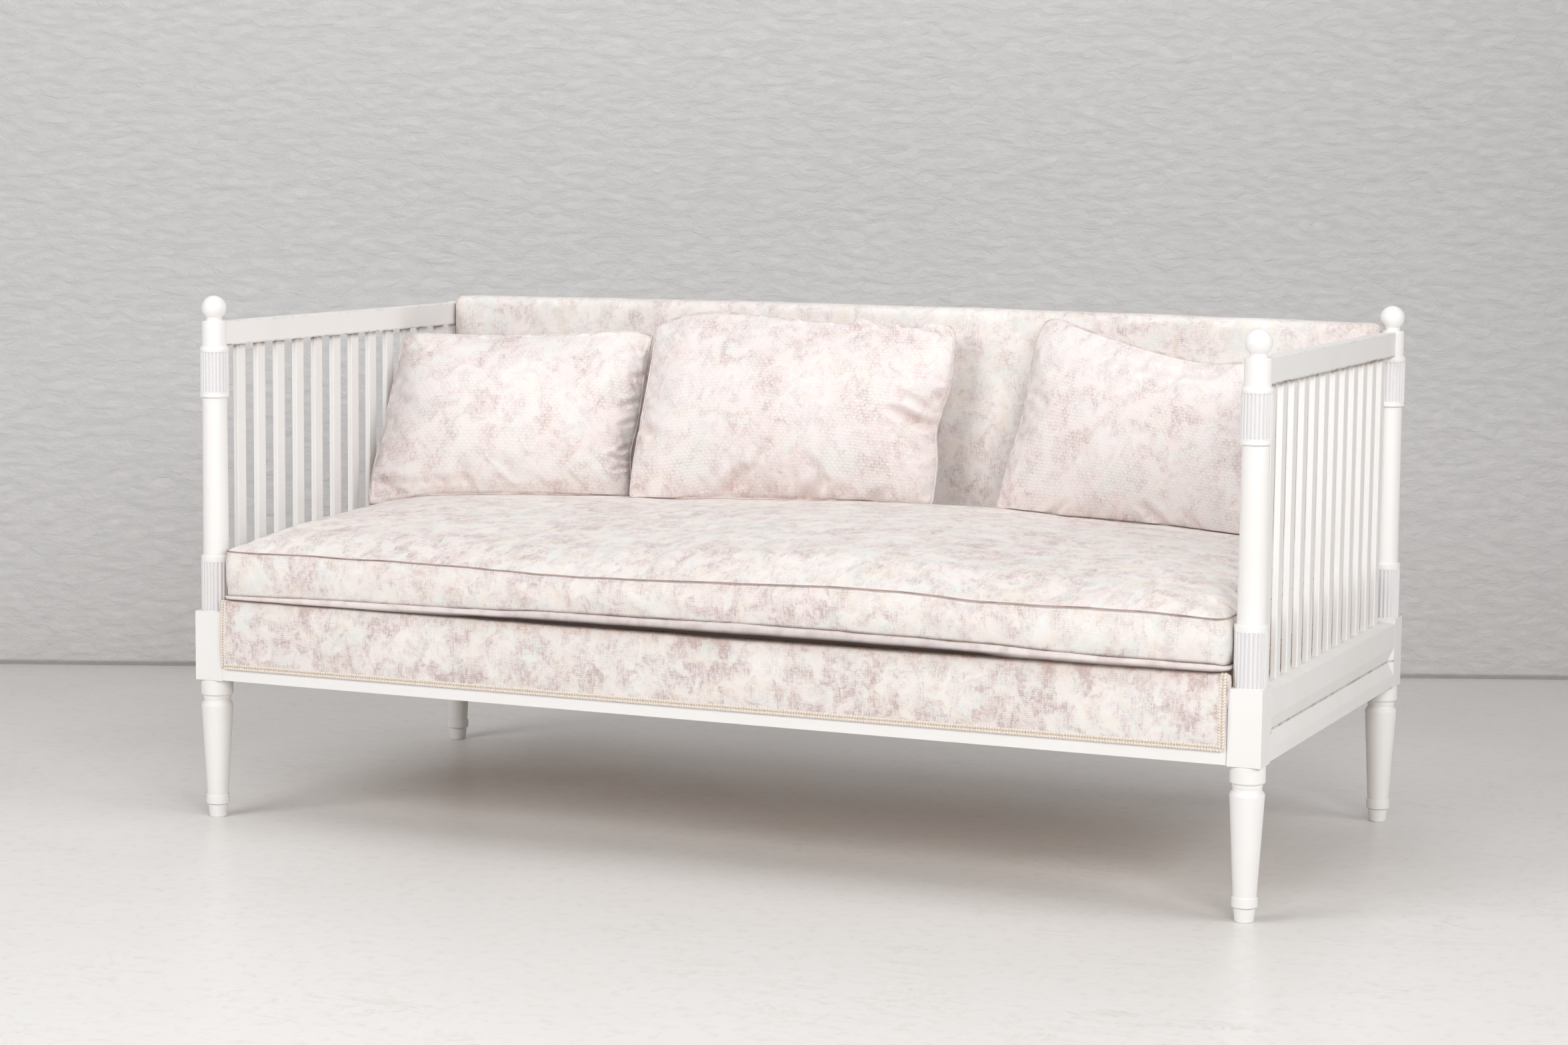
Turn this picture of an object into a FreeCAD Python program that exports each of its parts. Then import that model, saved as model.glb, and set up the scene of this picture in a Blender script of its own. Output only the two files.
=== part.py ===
import FreeCAD, Part
import math
import os

# A Swedish bench bed in the Gustavian style, in millimetres: turned posts, slatted arms, an upholstered
# back, and an upholstered front that pulls out with every other seat slat to widen the seat into a bed.
# +X runs along the seat, +Y to the back, +Z up. The origin lies on the floor, midway between the posts.

Vector = FreeCAD.Vector
AXIS_X = Vector(1, 0, 0)
AXIS_Y = Vector(0, 1, 0)
AXIS_Z = Vector(0, 0, 1)

# Overall sizes
bed_length = 1840.0  # between post axes along X
bed_depth = 860.0  # between post axes along Y

# Clearances
joint_gap = 0.2  # between a tenon and its mortise
slide_gap = 0.3  # under what slides or lies loose
pivot_gap = 0.05  # round a pivot bolt
overrun = 5.0  # how far a cutting shape reaches past what it cuts

# Post: foot and leg, turned below the block
leg_height = 243.0
foot_tip_radius = 15.0
foot_round = 1.5
foot_top_radius = 17.2
foot_height = 22.0
foot_groove_radius = 16.4
foot_groove_height = 1.5
leg_ring_height = 16.0
leg_ring_radius = 20.3
ring_round = 1.6
leg_low_radius = 18.4
leg_high_radius = 27.0
shoulder_height = 10.0
neck_height = 12.5
neck_hollow_height = 7.0
neck_hollow_depth = 0.9
neck_radius = 23.6
collar_height = 27.5
collar_radius = 27.6
collar_round = 3.0

# Post: square block
block_side = 54.0
block_height = 119.6
block_chamfer = 1.5

# Post: column, turned above the block
column_height = 500.0
low_band_height = 87.4
low_band_radius = 25.6
low_ring_height = 9.0
low_ring_radius = 25.8
column_low_radius = 22.2
column_high_radius = 21.2
groove_height = 2.4
groove_radius = 20.6
base_ring_height = 7.0
base_ring_radius = 24.9
high_band_height = 72.0
high_band_radius = 24.2
lip_height = 9.0
lip_radius = 24.4
cap_height = 42.6
cap_radius = 21.0
cap_round = 1.5

# Flutes round both bands
flute_count = 22
flute_radius = 2.9
flute_depth = 1.7
flute_margin = 1.5

# Finial
ball_radius = 21.0
ball_rise = 22.4  # from the cap to the ball's centre
finial_seat_radius = 16.5
finial_neck_radius = 13.5
dowel_radius = 5.0
dowel_length = 20.0

# Arms
arm_rail_thickness = 22.0
arm_rail_drop = 1.1  # below the caps' tops
arm_rail_edge = 1.5
arm_tenon_radius = 6.0
arm_tenon_length = 11.0
slat_count = 12
slat_width = 26.0
slat_thickness = 10.0
slat_edge = 1.5
slat_tenon_length = 10.0
slat_tenon_shoulder = 3.0
slat_tenon_cheek = 2.0

# Side rails
rail_lift = 1.5  # above the blocks' undersides
rail_height = 114.0
rail_thickness = 40.0
ledge_width = 20.0
ledge_fall = 3.5
rail_foot_chamfer = 1.5
trough_low_margin = 22.0
trough_high_margin = 44.0
trough_depth = 8.0
trough_end_gap = 3.0
trough_end_run = 12.0
tenon_length = 26.0
tenon_shoulder = 20.0
tenon_thickness = 12.0
tenon_offset = 7.0  # outwards from the middle of the block

# Rear rail, rear ledger and front bearer
rear_rail_thickness = 34.0
rear_rail_inset = 8.0  # from the blocks' rear faces
rear_tenon_length = 18.0
ledger_thickness = 22.0
ledger_height = 30.0
bearer_thickness = 25.0
bearer_height = 60.0
bearer_inset = 45.0  # behind the front posts' axes
bearer_housing = 8.0

# Seat slats, every other one fixed
seat_rise = 28.5  # above the side rails
seat_slat_count = 19
seat_slat_thickness = 19.0
seat_slat_gap = 14.0
seat_slat_end_gap = 21.0
moving_drop = 0.7  # how much lower the moving slats lie
moving_slat_gap = 48.0  # to the rear ledger
front_dado = 8.0

# Cross batten under the moving slats, and the runners that carry it
batten_thickness = 22.0
batten_width = 45.0
batten_side_gap = 7.0
batten_inset = 99.5  # from the moving slats' rear ends
stop_gap = 0.5
runner_width = 35.0
runner_height = 22.0
runner_end_gap = 10.0  # to the rear blocks

# Pull-out front
front_gap = 0.5  # to the blocks, at each end
front_thickness = 22.0
front_inset = 0.5  # behind the blocks' faces
front_board_drop = 8.0  # below the seat slats' tops
strip_height = 19.5
front_pad_thickness = 3.5
front_pad_bulge = 3.0
front_pad_lip = 7.0
braid_width = 12.0
braid_thickness = 1.6

# Folding support legs
leg_pivot_inset = 93.0  # from the blocks
leg_pivot_rise = 55.5  # above the front board's foot
support_width = 34.0
support_thickness = 28.0
support_foot_width = 24.0
support_floor_gap = 1.0
bolt_radius = 4.0
bolt_embed = 14.0
washer_radius = 12.0
washer_thickness = 1.0
bolt_head_radius = 9.0
bolt_head_height = 5.0

# Back
back_frame_height = 503.5
back_frame_thickness = 28.0
back_frame_inset = 11.0  # from the blocks' rear faces
back_end_gap = 1.0  # to the blocks
back_top_rail_height = 70.0
back_bottom_rail_height = 60.0
back_stile_width = 60.0
back_pad_top_rise = 19.0  # above the frame, at the middle
back_pad_end_rise = 13.0
back_pad_foot_gap = 2.0  # above the seat slats
back_pad_edge = 30.0  # thickness at the ends
back_pad_crown = 46.0  # thickness at the middle
back_pad_round = 14.0
back_lap_reach = 14.0  # how far the padding's front laps past the frame, before the rear posts
back_lap_gap = 0.4  # to the posts' lower rings
back_lap_round = 7.0
back_lap_drop = 2.0  # of its top
back_lap_shares = ((0.0, 0.0), (0.5, 0.06), (0.86, 0.29), (1.0, 0.6))  # of the reach: along and drawn in
outer_cover_thickness = 3.0
back_station_shares = ((0.0, 0.1), (0.06, 0.5), (0.15, 0.8), (0.5, 1.0), (0.85, 0.8), (0.94, 0.5), (1.0, 0.1))

# Seat cushion. Each station is a share of the half length and a share of the crown.
seat_end_gap = 7.0  # to the blocks
seat_overhang = 4.0  # ahead of the front board
seat_back_gap = 6.0  # to the fullest part of the back
seat_box_height = 77.0  # between the seams
seat_crown = 66.0
seat_side_bulge = 4.0
seat_corner_round = 22.0
seat_bottom_rise = 5.7
seat_bottom_inset = 6.0
seat_crown_shares = ((0.25, 0.7), (0.58, 1.0), (0.85, 0.9), (0.97, 0.66))
seat_station_shares = (
    (-1.0, 0.22), (-0.99, 0.36), (-0.97, 0.47), (-0.9, 0.64), (-0.75, 0.7), (-0.5, 0.74), (-0.2, 0.86),
    (0.1, 1.0), (0.25, 1.0), (0.45, 0.87), (0.7, 0.75), (0.85, 0.62), (0.97, 0.46), (0.99, 0.35), (1.0, 0.22),
)

# Loose cushions. Corners are shares of the seat's half length, its depth and the back's height above it.
cushion_front_bulge = 58.0
cushion_back_bulge = 22.0
cushion_edge = 3.0
cushion_draw = 10.0
cushion_lift = 4.0
cushion_station_shares = (0.0, 0.05, 0.18, 0.38, 0.62, 0.82, 0.95, 1.0)
cushion_fullness_share = 2.4
left_cushion_shares = (
    (-0.993, 0.581, 0.099), (-0.524, 0.861, 0.117), (-1.017, 0.787, 0.83), (-0.502, 0.93, 0.868),
)
centre_cushion_shares = (
    (-0.488, 0.796, 0.1095), (0.156, 0.9, 0.135), (-0.485, 0.925, 0.989), (0.165, 0.945, 0.912),
)
right_cushion_shares = (
    (0.296, 0.86, 0.141), (0.869, 0.79, 0.094), (0.369, 0.945, 0.986), (0.83, 0.86, 0.845),
)

# Places worked out from the sizes
post_x = bed_length / 2
post_y = bed_depth / 2
block_x = post_x - block_side / 2  # the blocks' inner faces
block_y = post_y - block_side / 2
outer_x = post_x + block_side / 2  # the blocks' outer faces
outer_y = post_y + block_side / 2
block_bottom = leg_height
block_top = block_bottom + block_height
low_band_top = block_top + low_band_height
cap_top = block_top + column_height
lip_top = cap_top - cap_height
high_band_top = lip_top - lip_height
base_ring_top = high_band_top - high_band_height
groove_top = base_ring_top - base_ring_height
arm_rail_top = cap_top - arm_rail_drop
rail_bottom = block_bottom + rail_lift
rail_top = rail_bottom + rail_height
rail_inner_x = outer_x - rail_thickness
seat_top = rail_top + seat_rise
bearer_top = seat_top - seat_slat_thickness
bearer_front = bearer_inset - post_y
bearer_rear = bearer_front + bearer_thickness
rear_rail_rear = outer_y - rear_rail_inset
rear_rail_front = rear_rail_rear - rear_rail_thickness
ledger_front = rear_rail_front - ledger_thickness
moving_bottom = bearer_top - moving_drop
moving_rear = ledger_front - moving_slat_gap
batten_front = moving_rear - batten_inset - batten_width
slide_travel = batten_front - bearer_rear - stop_gap
seat_slat_room = 2 * (rail_inner_x - seat_slat_end_gap) - (seat_slat_count - 1) * seat_slat_gap
seat_slat_width = seat_slat_room / seat_slat_count
seat_slat_pitch = seat_slat_width + seat_slat_gap
slat_gap = (2 * block_y - slat_count * slat_width) / (slat_count + 1)
slat_pitch = slat_width + slat_gap
front_y = front_inset - outer_y
front_back_y = front_y + front_thickness
front_half = block_x - front_gap
front_board_top = seat_top - front_board_drop
front_pad_bottom = rail_bottom + strip_height
front_pad_top = seat_top - moving_drop
leg_pivot_x = block_x - leg_pivot_inset
leg_pivot_z = rail_bottom + leg_pivot_rise
back_rear = outer_y - back_frame_inset
back_front = back_rear - back_frame_thickness
back_half = block_x - back_end_gap
back_frame_top = rail_top + back_frame_height
seat_half = block_x - seat_end_gap
seat_front = front_y - seat_overhang
seat_rear = back_front - back_pad_crown - seat_back_gap
seat_seam_low = seat_top + slide_gap + seat_bottom_rise
seat_seam_high = seat_seam_low + seat_box_height


def save(shape, node):
    """Writes one sub-part to its own file."""
    shape.exportStep("parts/" + node + ".step")


def box(x_range, y_range, z_range):
    """A block between two places along each axis."""
    size = [high - low for low, high in (x_range, y_range, z_range)]
    return Part.makeBox(*size, Vector(x_range[0], y_range[0], z_range[0]))


def across(value):
    """The range from minus to plus a half size."""
    return (-value, value)


def centred(middle, size):
    """The range of a size about its middle."""
    return (middle - size / 2, middle + size / 2)


def share_of(low, high, share):
    """The place at a share of the way from low to high."""
    return low + (high - low) * share


def joined(shapes):
    """One solid from shapes that meet."""
    return shapes[0].multiFuse(shapes[1:]).removeSplitter()


def prism(points, direction):
    """A straight solid on a flat outline."""
    corners = [Vector(*point) for point in points]
    return Part.Face(Part.makePolygon(corners + corners[:1])).extrude(direction)


def mirrored(shape):
    """The same shape on the other side of the bed's middle."""
    return shape.mirror(Vector(0, 0, 0), AXIS_X)


def eighth(radius):
    """How far the middle of a quarter round stands in from its corner."""
    return radius * (1 - math.sqrt(1 / 2))


def edge_from(start, points):
    """An edge from start: a line to one point, or an arc through the first of two."""
    places = [start] + [Vector(*point) for point in points]
    if len(places) == 2:
        return Part.LineSegment(*places).toShape()
    return Part.Arc(*places).toShape()


def wire_through(start, steps):
    """A wire of lines and arcs, each step one or two points."""
    edges = []
    here = Vector(*start)
    for step in steps:
        edges.append(edge_from(here, step))
        here = Vector(*step[-1])
    return Part.Wire(edges)


def turned(steps, bottom, x, y):
    """A solid turned about an upright axis. Steps are single (radius, height) points, or two for an arc."""
    outline = [[(radius, 0, z) for radius, z in step] for step in steps]
    if steps[-1][-1][0] > 0:
        outline.append([(0, 0, steps[-1][-1][1])])
    outline.append([(0, 0, bottom)])
    face = Part.Face(wire_through((0, 0, bottom), outline))
    solid = face.revolve(Vector(0, 0, 0), AXIS_Z, 360)
    solid.translate(Vector(x, y, 0))
    return solid


def ring_steps(radius, bottom, top):
    """A turned ring with rounded edges, from its lower to its upper face."""
    ease = eighth(ring_round)
    inner = radius - ring_round
    return [
        [(inner, bottom)],
        [(radius - ease, bottom + ease), (radius, bottom + ring_round)],
        [(radius, top - ring_round)],
        [(radius - ease, top - ease), (inner, top)],
    ]


def leg_steps():
    """The foot, ring, tapered leg, neck and collar, from the floor up."""
    ring_bottom = foot_height + foot_groove_height
    ring_top = ring_bottom + leg_ring_height
    collar_bottom = leg_height - collar_height
    neck_bottom = collar_bottom - neck_height
    hollow_top = neck_bottom + neck_hollow_height
    leg_high = neck_bottom - shoulder_height
    ease = eighth(collar_round)
    steps = [[(foot_tip_radius - foot_round, 0)], [(foot_tip_radius, foot_round)]]
    steps += [[(foot_top_radius, foot_height)], [(foot_groove_radius, foot_height)]]
    steps += [[(foot_groove_radius, ring_bottom)]]
    steps += ring_steps(leg_ring_radius, ring_bottom, ring_top)
    steps += [[(leg_low_radius, ring_top)], [(leg_high_radius, leg_high)]]
    steps += [[(leg_high_radius, (leg_high + neck_bottom) / 2), (neck_radius, neck_bottom)]]
    steps += [[(neck_radius - neck_hollow_depth, (neck_bottom + hollow_top) / 2), (neck_radius, hollow_top)]]
    steps += [[(neck_radius, collar_bottom)], [(collar_radius - collar_round, collar_bottom)]]
    steps += [[(collar_radius - ease, collar_bottom + ease), (collar_radius, collar_bottom + collar_round)]]
    steps += [[(collar_radius, leg_height - collar_round)]]
    steps += [[(collar_radius - ease, leg_height - ease), (collar_radius - collar_round, leg_height)]]
    return steps


def column_steps():
    """The fluted bands, rings, plain column, lip and cap, from the block up."""
    low_ring_top = low_band_top + low_ring_height
    groove_bottom = groove_top - groove_height
    ease = eighth(cap_round)
    steps = [[(low_band_radius, block_top)], [(low_band_radius, low_band_top)]]
    steps += ring_steps(low_ring_radius, low_band_top, low_ring_top)[1:]
    steps[2] = [(low_ring_radius, low_band_top + ring_round)]
    steps += [[(column_low_radius, low_ring_top)], [(column_high_radius, groove_bottom)]]
    steps += [[(groove_radius, groove_bottom)], [(groove_radius, groove_top)]]
    steps += ring_steps(base_ring_radius, groove_top, base_ring_top)
    steps += [[(high_band_radius, base_ring_top)], [(high_band_radius, high_band_top)]]
    steps += [[(lip_radius, (high_band_top + lip_top) / 2), (cap_radius, lip_top)]]
    steps += [[(cap_radius, cap_top - cap_round)]]
    steps += [[(cap_radius - ease, cap_top - ease), (cap_radius - cap_round, cap_top)]]
    return steps


def flute_cutters(x, y):
    """Upright round bars that cut the flutes of both bands."""
    cutters = []
    low_band = (low_band_radius, block_top, low_band_height)
    high_band = (high_band_radius, base_ring_top, high_band_height)
    for radius, bottom, height in (low_band, high_band):
        centre = radius + flute_radius - flute_depth
        for index in range(flute_count):
            angle = 2 * math.pi * index / flute_count
            place = Vector(x + centre * math.cos(angle), y + centre * math.sin(angle), bottom + flute_margin)
            cutters.append(Part.makeCylinder(flute_radius, height - 2 * flute_margin, place))
    return Part.makeCompound(cutters)


def chamfered_outline(middle_x, middle_y, half_x, half_y, cut, z):
    """A rectangle with its corners cut off, about a middle."""
    turns = (
        (half_x, half_y - cut), (half_x - cut, half_y), (cut - half_x, half_y), (-half_x, half_y - cut),
        (-half_x, cut - half_y), (cut - half_x, -half_y), (half_x - cut, -half_y), (half_x, cut - half_y),
    )
    return [(middle_x + dx, middle_y + dy, z) for dx, dy in turns]


def rail_tenon_heights(grow):
    """The heights between which the rails' tenons lie."""
    return (rail_bottom + tenon_shoulder - grow, rail_top - tenon_shoulder + grow)


def side_tenon(end, grow):
    """A side rail's tenon, end -1 in front and 1 behind, grown by a gap for its mortise."""
    y_range = sorted((end * (block_y - overrun), end * (block_y + tenon_length + grow)))
    x_range = centred(post_x + tenon_offset, tenon_thickness + 2 * grow)
    return box(x_range, y_range, rail_tenon_heights(grow))


def rear_tenon(grow):
    """The rear rail's right-hand tenon, grown by a gap for its mortise."""
    y_range = centred((rear_rail_front + rear_rail_rear) / 2, tenon_thickness + 2 * grow)
    return box((block_x - overrun, block_x + rear_tenon_length + grow), y_range, rail_tenon_heights(grow))


def arm_tenon(end, grow):
    """The round tenon of an arm rail in a post's cap."""
    start = Vector(post_x, end * (post_y - cap_radius - overrun), (lip_top + arm_rail_top) / 2)
    return Part.makeCylinder(arm_tenon_radius + grow, overrun + arm_tenon_length + grow, start, AXIS_Y * end)


def make_post(end):
    """A right-hand post on its leg, end -1 in front and 1 behind."""
    y = end * post_y
    leg = turned(leg_steps(), 0, post_x, y)
    outline = chamfered_outline(post_x, y, block_side / 2, block_side / 2, block_chamfer, block_bottom)
    block = prism(outline, Vector(0, 0, block_height))
    column = turned(column_steps(), block_top, post_x, y).cut(flute_cutters(post_x, y))
    depth = dowel_length + joint_gap
    hole = Part.makeCylinder(dowel_radius + joint_gap, depth + overrun, Vector(post_x, y, cap_top - depth))
    cuts = [side_tenon(end, joint_gap), arm_tenon(end, joint_gap), hole]
    if end > 0:
        cuts.append(rear_tenon(joint_gap))
    return joined([leg, block, column]).cut(cuts)


def make_finial(x, y):
    """A ball on a small neck, with the dowel that holds it in the post."""
    centre = cap_top + ball_rise
    neck_top = centre - math.sqrt(ball_radius**2 - finial_neck_radius**2)
    crown = ball_radius * math.sqrt(1 / 2)
    steps = [[(finial_seat_radius, cap_top)]]
    steps += [[(finial_neck_radius, (cap_top + neck_top) / 2), (finial_neck_radius, neck_top)]]
    steps += [[(ball_radius, centre), (crown, centre + crown)]]
    lean = math.pi / 8
    near_top = (ball_radius * math.sin(lean), centre + ball_radius * math.cos(lean))
    steps += [[near_top, (0, centre + ball_radius)]]
    dowel = Part.makeCylinder(dowel_radius, dowel_length, Vector(x, y, cap_top - dowel_length))
    return joined([turned(steps, cap_top, x, y), dowel])


def slat_places():
    """The arm slats' middles along Y, from the front."""
    first = -slat_pitch * (slat_count - 1) / 2
    return [first + slat_pitch * index for index in range(slat_count)]


def slat_tenon(y, z_range, grow):
    """One tenon of an arm slat, grown by a gap for its mortise."""
    x_range = centred(post_x, slat_thickness - 2 * slat_tenon_cheek + 2 * grow)
    return box(x_range, centred(y, slat_width - 2 * slat_tenon_shoulder + 2 * grow), z_range)


def make_arm_rail():
    """The right arm's top rail, hollowed at its ends to fit round the posts' caps."""
    low, high, edge = lip_top, arm_rail_top, arm_rail_edge
    inner, outer = centred(post_x, arm_rail_thickness)
    outline = [(inner, low), (outer, low), (outer, high - edge)]
    outline += [(outer - edge, high), (inner + edge, high), (inner, high - edge)]
    bar = prism([(x, -post_y, z) for x, z in outline], Vector(0, bed_depth, 0))
    for end in (-1, 1):
        cap = Part.makeCylinder(cap_radius, overrun + high - low, Vector(post_x, end * post_y, low))
        bar = bar.cut(cap).fuse(arm_tenon(end, 0))
    heights = (low - overrun, low + slat_tenon_length + joint_gap)
    return bar.removeSplitter().cut([slat_tenon(y, heights, joint_gap) for y in slat_places()])


def make_arm_slat(y):
    """One flat upright slat of the right arm, with a tenon at each end."""
    outline = chamfered_outline(post_x, y, slat_thickness / 2, slat_width / 2, slat_edge, rail_top)
    body = prism(outline, Vector(0, 0, lip_top - rail_top))
    low = slat_tenon(y, (rail_top - slat_tenon_length, rail_top), 0)
    high = slat_tenon(y, (lip_top, lip_top + slat_tenon_length), 0)
    return joined([body, low, high])


def trough_cutter():
    """The long sunk panel on a side rail's face: two slopes that meet in a line, mitred at both ends."""
    bottom, top = rail_bottom + trough_low_margin, rail_top - trough_high_margin
    middle = (bottom + top) / 2
    line_y = block_y - trough_end_gap - trough_end_run
    spread = (trough_depth + overrun) / trough_depth
    half_z = (top - bottom) / 2 * spread
    half_y = line_y + trough_end_run * spread
    signs = ((-1, -1), (1, -1), (1, 1), (-1, 1))
    a, b, c, d = [Vector(outer_x + overrun, sy * half_y, middle + sz * half_z) for sy, sz in signs]
    front, rear = [Vector(outer_x - trough_depth, sign * line_y, middle) for sign in (-1, 1)]
    rings = ([a, b, c, d], [a, b, rear, front], [c, d, front, rear], [a, d, front], [b, c, rear])
    shell = Part.makeShell([Part.Face(Part.makePolygon(ring + ring[:1])) for ring in rings])
    solid = Part.makeSolid(shell)
    if solid.Volume < 0:
        solid.reverse()
    return solid


def bearer_end(grow):
    """The front bearer's end in its housing in the right side rail."""
    x_range = (rail_inner_x - overrun, rail_inner_x + bearer_housing + grow)
    z_range = (bearer_top - bearer_height - grow, rail_top + (overrun if grow else 0))
    return box(x_range, (bearer_front - grow, bearer_rear + grow), z_range)


def make_side_rail():
    """The right side rail, its face flush with the blocks, mortised for the slats."""
    outline = [
        (rail_inner_x, rail_bottom), (outer_x - rail_foot_chamfer, rail_bottom),
        (outer_x, rail_bottom + rail_foot_chamfer), (outer_x, rail_top - ledge_fall),
        (outer_x - ledge_width, rail_top), (rail_inner_x, rail_top),
    ]
    bar = prism([(x, -block_y, z) for x, z in outline], Vector(0, 2 * block_y, 0))
    rail = joined([bar, side_tenon(-1, 0), side_tenon(1, 0)])
    heights = (rail_top - slat_tenon_length - joint_gap, rail_top + overrun)
    cuts = [slat_tenon(y, heights, joint_gap) for y in slat_places()]
    return rail.cut(cuts + [trough_cutter(), bearer_end(joint_gap)])


def seat_slat_places(moving):
    """The middles along X of the moving or the fixed seat slats."""
    first = -seat_slat_pitch * (seat_slat_count - 1) / 2
    start = 0 if moving else 1
    return [first + seat_slat_pitch * index for index in range(start, seat_slat_count, 2)]


def make_front_bearer():
    """The fixed cross rail behind the pull-out front, notched where the moving slats run."""
    bar = box(across(rail_inner_x), (bearer_front, bearer_rear), (bearer_top - bearer_height, bearer_top))
    end = bearer_end(0)
    y_cut = (bearer_front - overrun, bearer_rear + overrun)
    z_cut = (moving_bottom - slide_gap, bearer_top + overrun)
    wide = seat_slat_width + 2 * slide_gap
    notches = [box(centred(x, wide), y_cut, z_cut) for x in seat_slat_places(True)]
    return joined([bar, end, mirrored(end)]).cut(notches)


def make_rear_rail():
    """The rail between the rear blocks, on which the back stands."""
    bar = box(across(block_x), (rear_rail_front, rear_rail_rear), (rail_bottom, rail_top))
    return joined([bar, rear_tenon(0), mirrored(rear_tenon(0))])


def make_rear_ledger():
    """The strip along the rear rail that carries the fixed slats' rear ends."""
    y_range = (ledger_front, rear_rail_front)
    return box(across(block_x), y_range, (bearer_top - ledger_height, bearer_top))


def seat_slats(moving, y_range, z_range):
    """The moving or the fixed seat slats side by side."""
    places = seat_slat_places(moving)
    return Part.makeCompound([box(centred(x, seat_slat_width), y_range, z_range) for x in places])


def make_fixed_slats():
    """The seat slats that stay, from the bearer to the rear rail."""
    return seat_slats(False, (bearer_front, rear_rail_front), (bearer_top, seat_top))


def make_moving_slats():
    """The seat slats that travel with the front, between the fixed ones."""
    return seat_slats(True, (front_back_y - front_dado, moving_rear), (moving_bottom, seat_top - moving_drop))


def make_slide_batten():
    """The cross batten under the moving slats, which meets the bearer when the bed is fully open."""
    y_range = (batten_front, batten_front + batten_width)
    z_range = (moving_bottom - batten_thickness, moving_bottom)
    return box(across(rail_inner_x - batten_side_gap), y_range, z_range)


def make_runner():
    """The right runner, on the side rail's inner face under the batten's end."""
    top = moving_bottom - batten_thickness - slide_gap
    x_range = (rail_inner_x - runner_width, rail_inner_x)
    return box(x_range, (bearer_rear, block_y - runner_end_gap), (top - runner_height, top))


def make_front_board():
    """The board of the pull-out front, housing the moving slats and the leg bolts."""
    board = box(across(front_half), (front_y, front_back_y), (rail_bottom, front_board_top))
    y_cut = (front_back_y - front_dado, front_back_y + overrun)
    z_cut = (moving_bottom, seat_top)
    cuts = [box(centred(x, seat_slat_width), y_cut, z_cut) for x in seat_slat_places(True)]
    for side in (-1, 1):
        place = Vector(side * leg_pivot_x, front_back_y - bolt_embed, leg_pivot_z)
        cuts.append(Part.makeCylinder(bolt_radius, bolt_embed + overrun, place, AXIS_Y))
    return board.cut(cuts)


def make_front_padding():
    """The padded cover over the board's face and top edge, above the bare painted strip."""
    thick = front_pad_thickness
    edge = front_y - thick
    eased = front_pad_top - thick
    middle_z = (front_pad_bottom + eased) / 2
    x = -front_half
    start = (x, front_y, front_pad_bottom)
    steps = [
        [(x, edge, front_pad_bottom)],
        [(x, edge - front_pad_bulge, middle_z), (x, edge, eased)],
        [(x, edge + eighth(thick), front_pad_top - eighth(thick)), (x, edge + thick, front_pad_top)],
        [(x, front_y + front_pad_lip, front_pad_top)],
        [(x, front_y + front_pad_lip, front_board_top)],
        [(x, front_y, front_board_top)],
        [start],
    ]
    return Part.Face(wire_through(start, steps)).extrude(Vector(2 * front_half, 0, 0))


def make_gimp_braid():
    """The flat braid down both ends and along the foot of the front cover."""
    edge = front_y - front_pad_thickness
    top = front_pad_top - front_pad_thickness
    y_range = (edge - front_pad_bulge - braid_thickness, edge + front_pad_bulge)
    inner_y = (y_range[0] - overrun, y_range[1] + overrun)
    outer = box(across(front_half), y_range, (front_pad_bottom, top))
    inner = box(across(front_half - braid_width), inner_y, (front_pad_bottom + braid_width, top + overrun))
    skin = make_front_padding()
    return outer.cut(inner).common(skin.translated(Vector(0, -braid_thickness, 0))).cut(skin)


def make_support_leg():
    """The right folding leg, folded: it lies along the front board, its foot towards the middle."""
    face = front_back_y + washer_thickness
    foot_x = leg_pivot_x - leg_pivot_z + support_floor_gap
    half, foot = support_width / 2, support_foot_width / 2
    start = (leg_pivot_x, face, leg_pivot_z - half)
    steps = [
        [(leg_pivot_x + half, face, leg_pivot_z), (leg_pivot_x, face, leg_pivot_z + half)],
        [(foot_x, face, leg_pivot_z + foot)],
        [(foot_x, face, leg_pivot_z - foot)],
        [start],
    ]
    leg = Part.Face(wire_through(start, steps)).extrude(Vector(0, support_thickness, 0))
    place = Vector(leg_pivot_x, face - overrun, leg_pivot_z)
    return leg.cut(Part.makeCylinder(bolt_radius + pivot_gap, support_thickness + 2 * overrun, place, AXIS_Y))


def make_leg_bolt():
    """The right leg's pivot bolt, with a washer before the leg and a head behind it."""
    face = Vector(leg_pivot_x, front_back_y, leg_pivot_z)
    grip = washer_thickness + support_thickness + slide_gap
    shank = Part.makeCylinder(bolt_radius, bolt_embed + grip, face - AXIS_Y * bolt_embed, AXIS_Y)
    washer = Part.makeCylinder(washer_radius, washer_thickness - slide_gap, face, AXIS_Y)
    head = Part.makeCylinder(bolt_head_radius, bolt_head_height, face + AXIS_Y * grip, AXIS_Y)
    return joined([shank, washer, head])


def make_back_rail(bottom, height):
    """A rail of the back frame between its stiles."""
    return box(across(back_half - back_stile_width), (back_front, back_rear), (bottom, bottom + height))


def make_back_stile():
    """The right stile of the back frame, standing on the rear rail."""
    return box((back_half - back_stile_width, back_half), (back_front, back_rear), (rail_top, back_frame_top))


def make_back_outer_cover():
    """The thin cover over the rear of the back."""
    return box(across(back_half), (back_rear, back_rear + outer_cover_thickness), (rail_top, back_frame_top))


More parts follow.
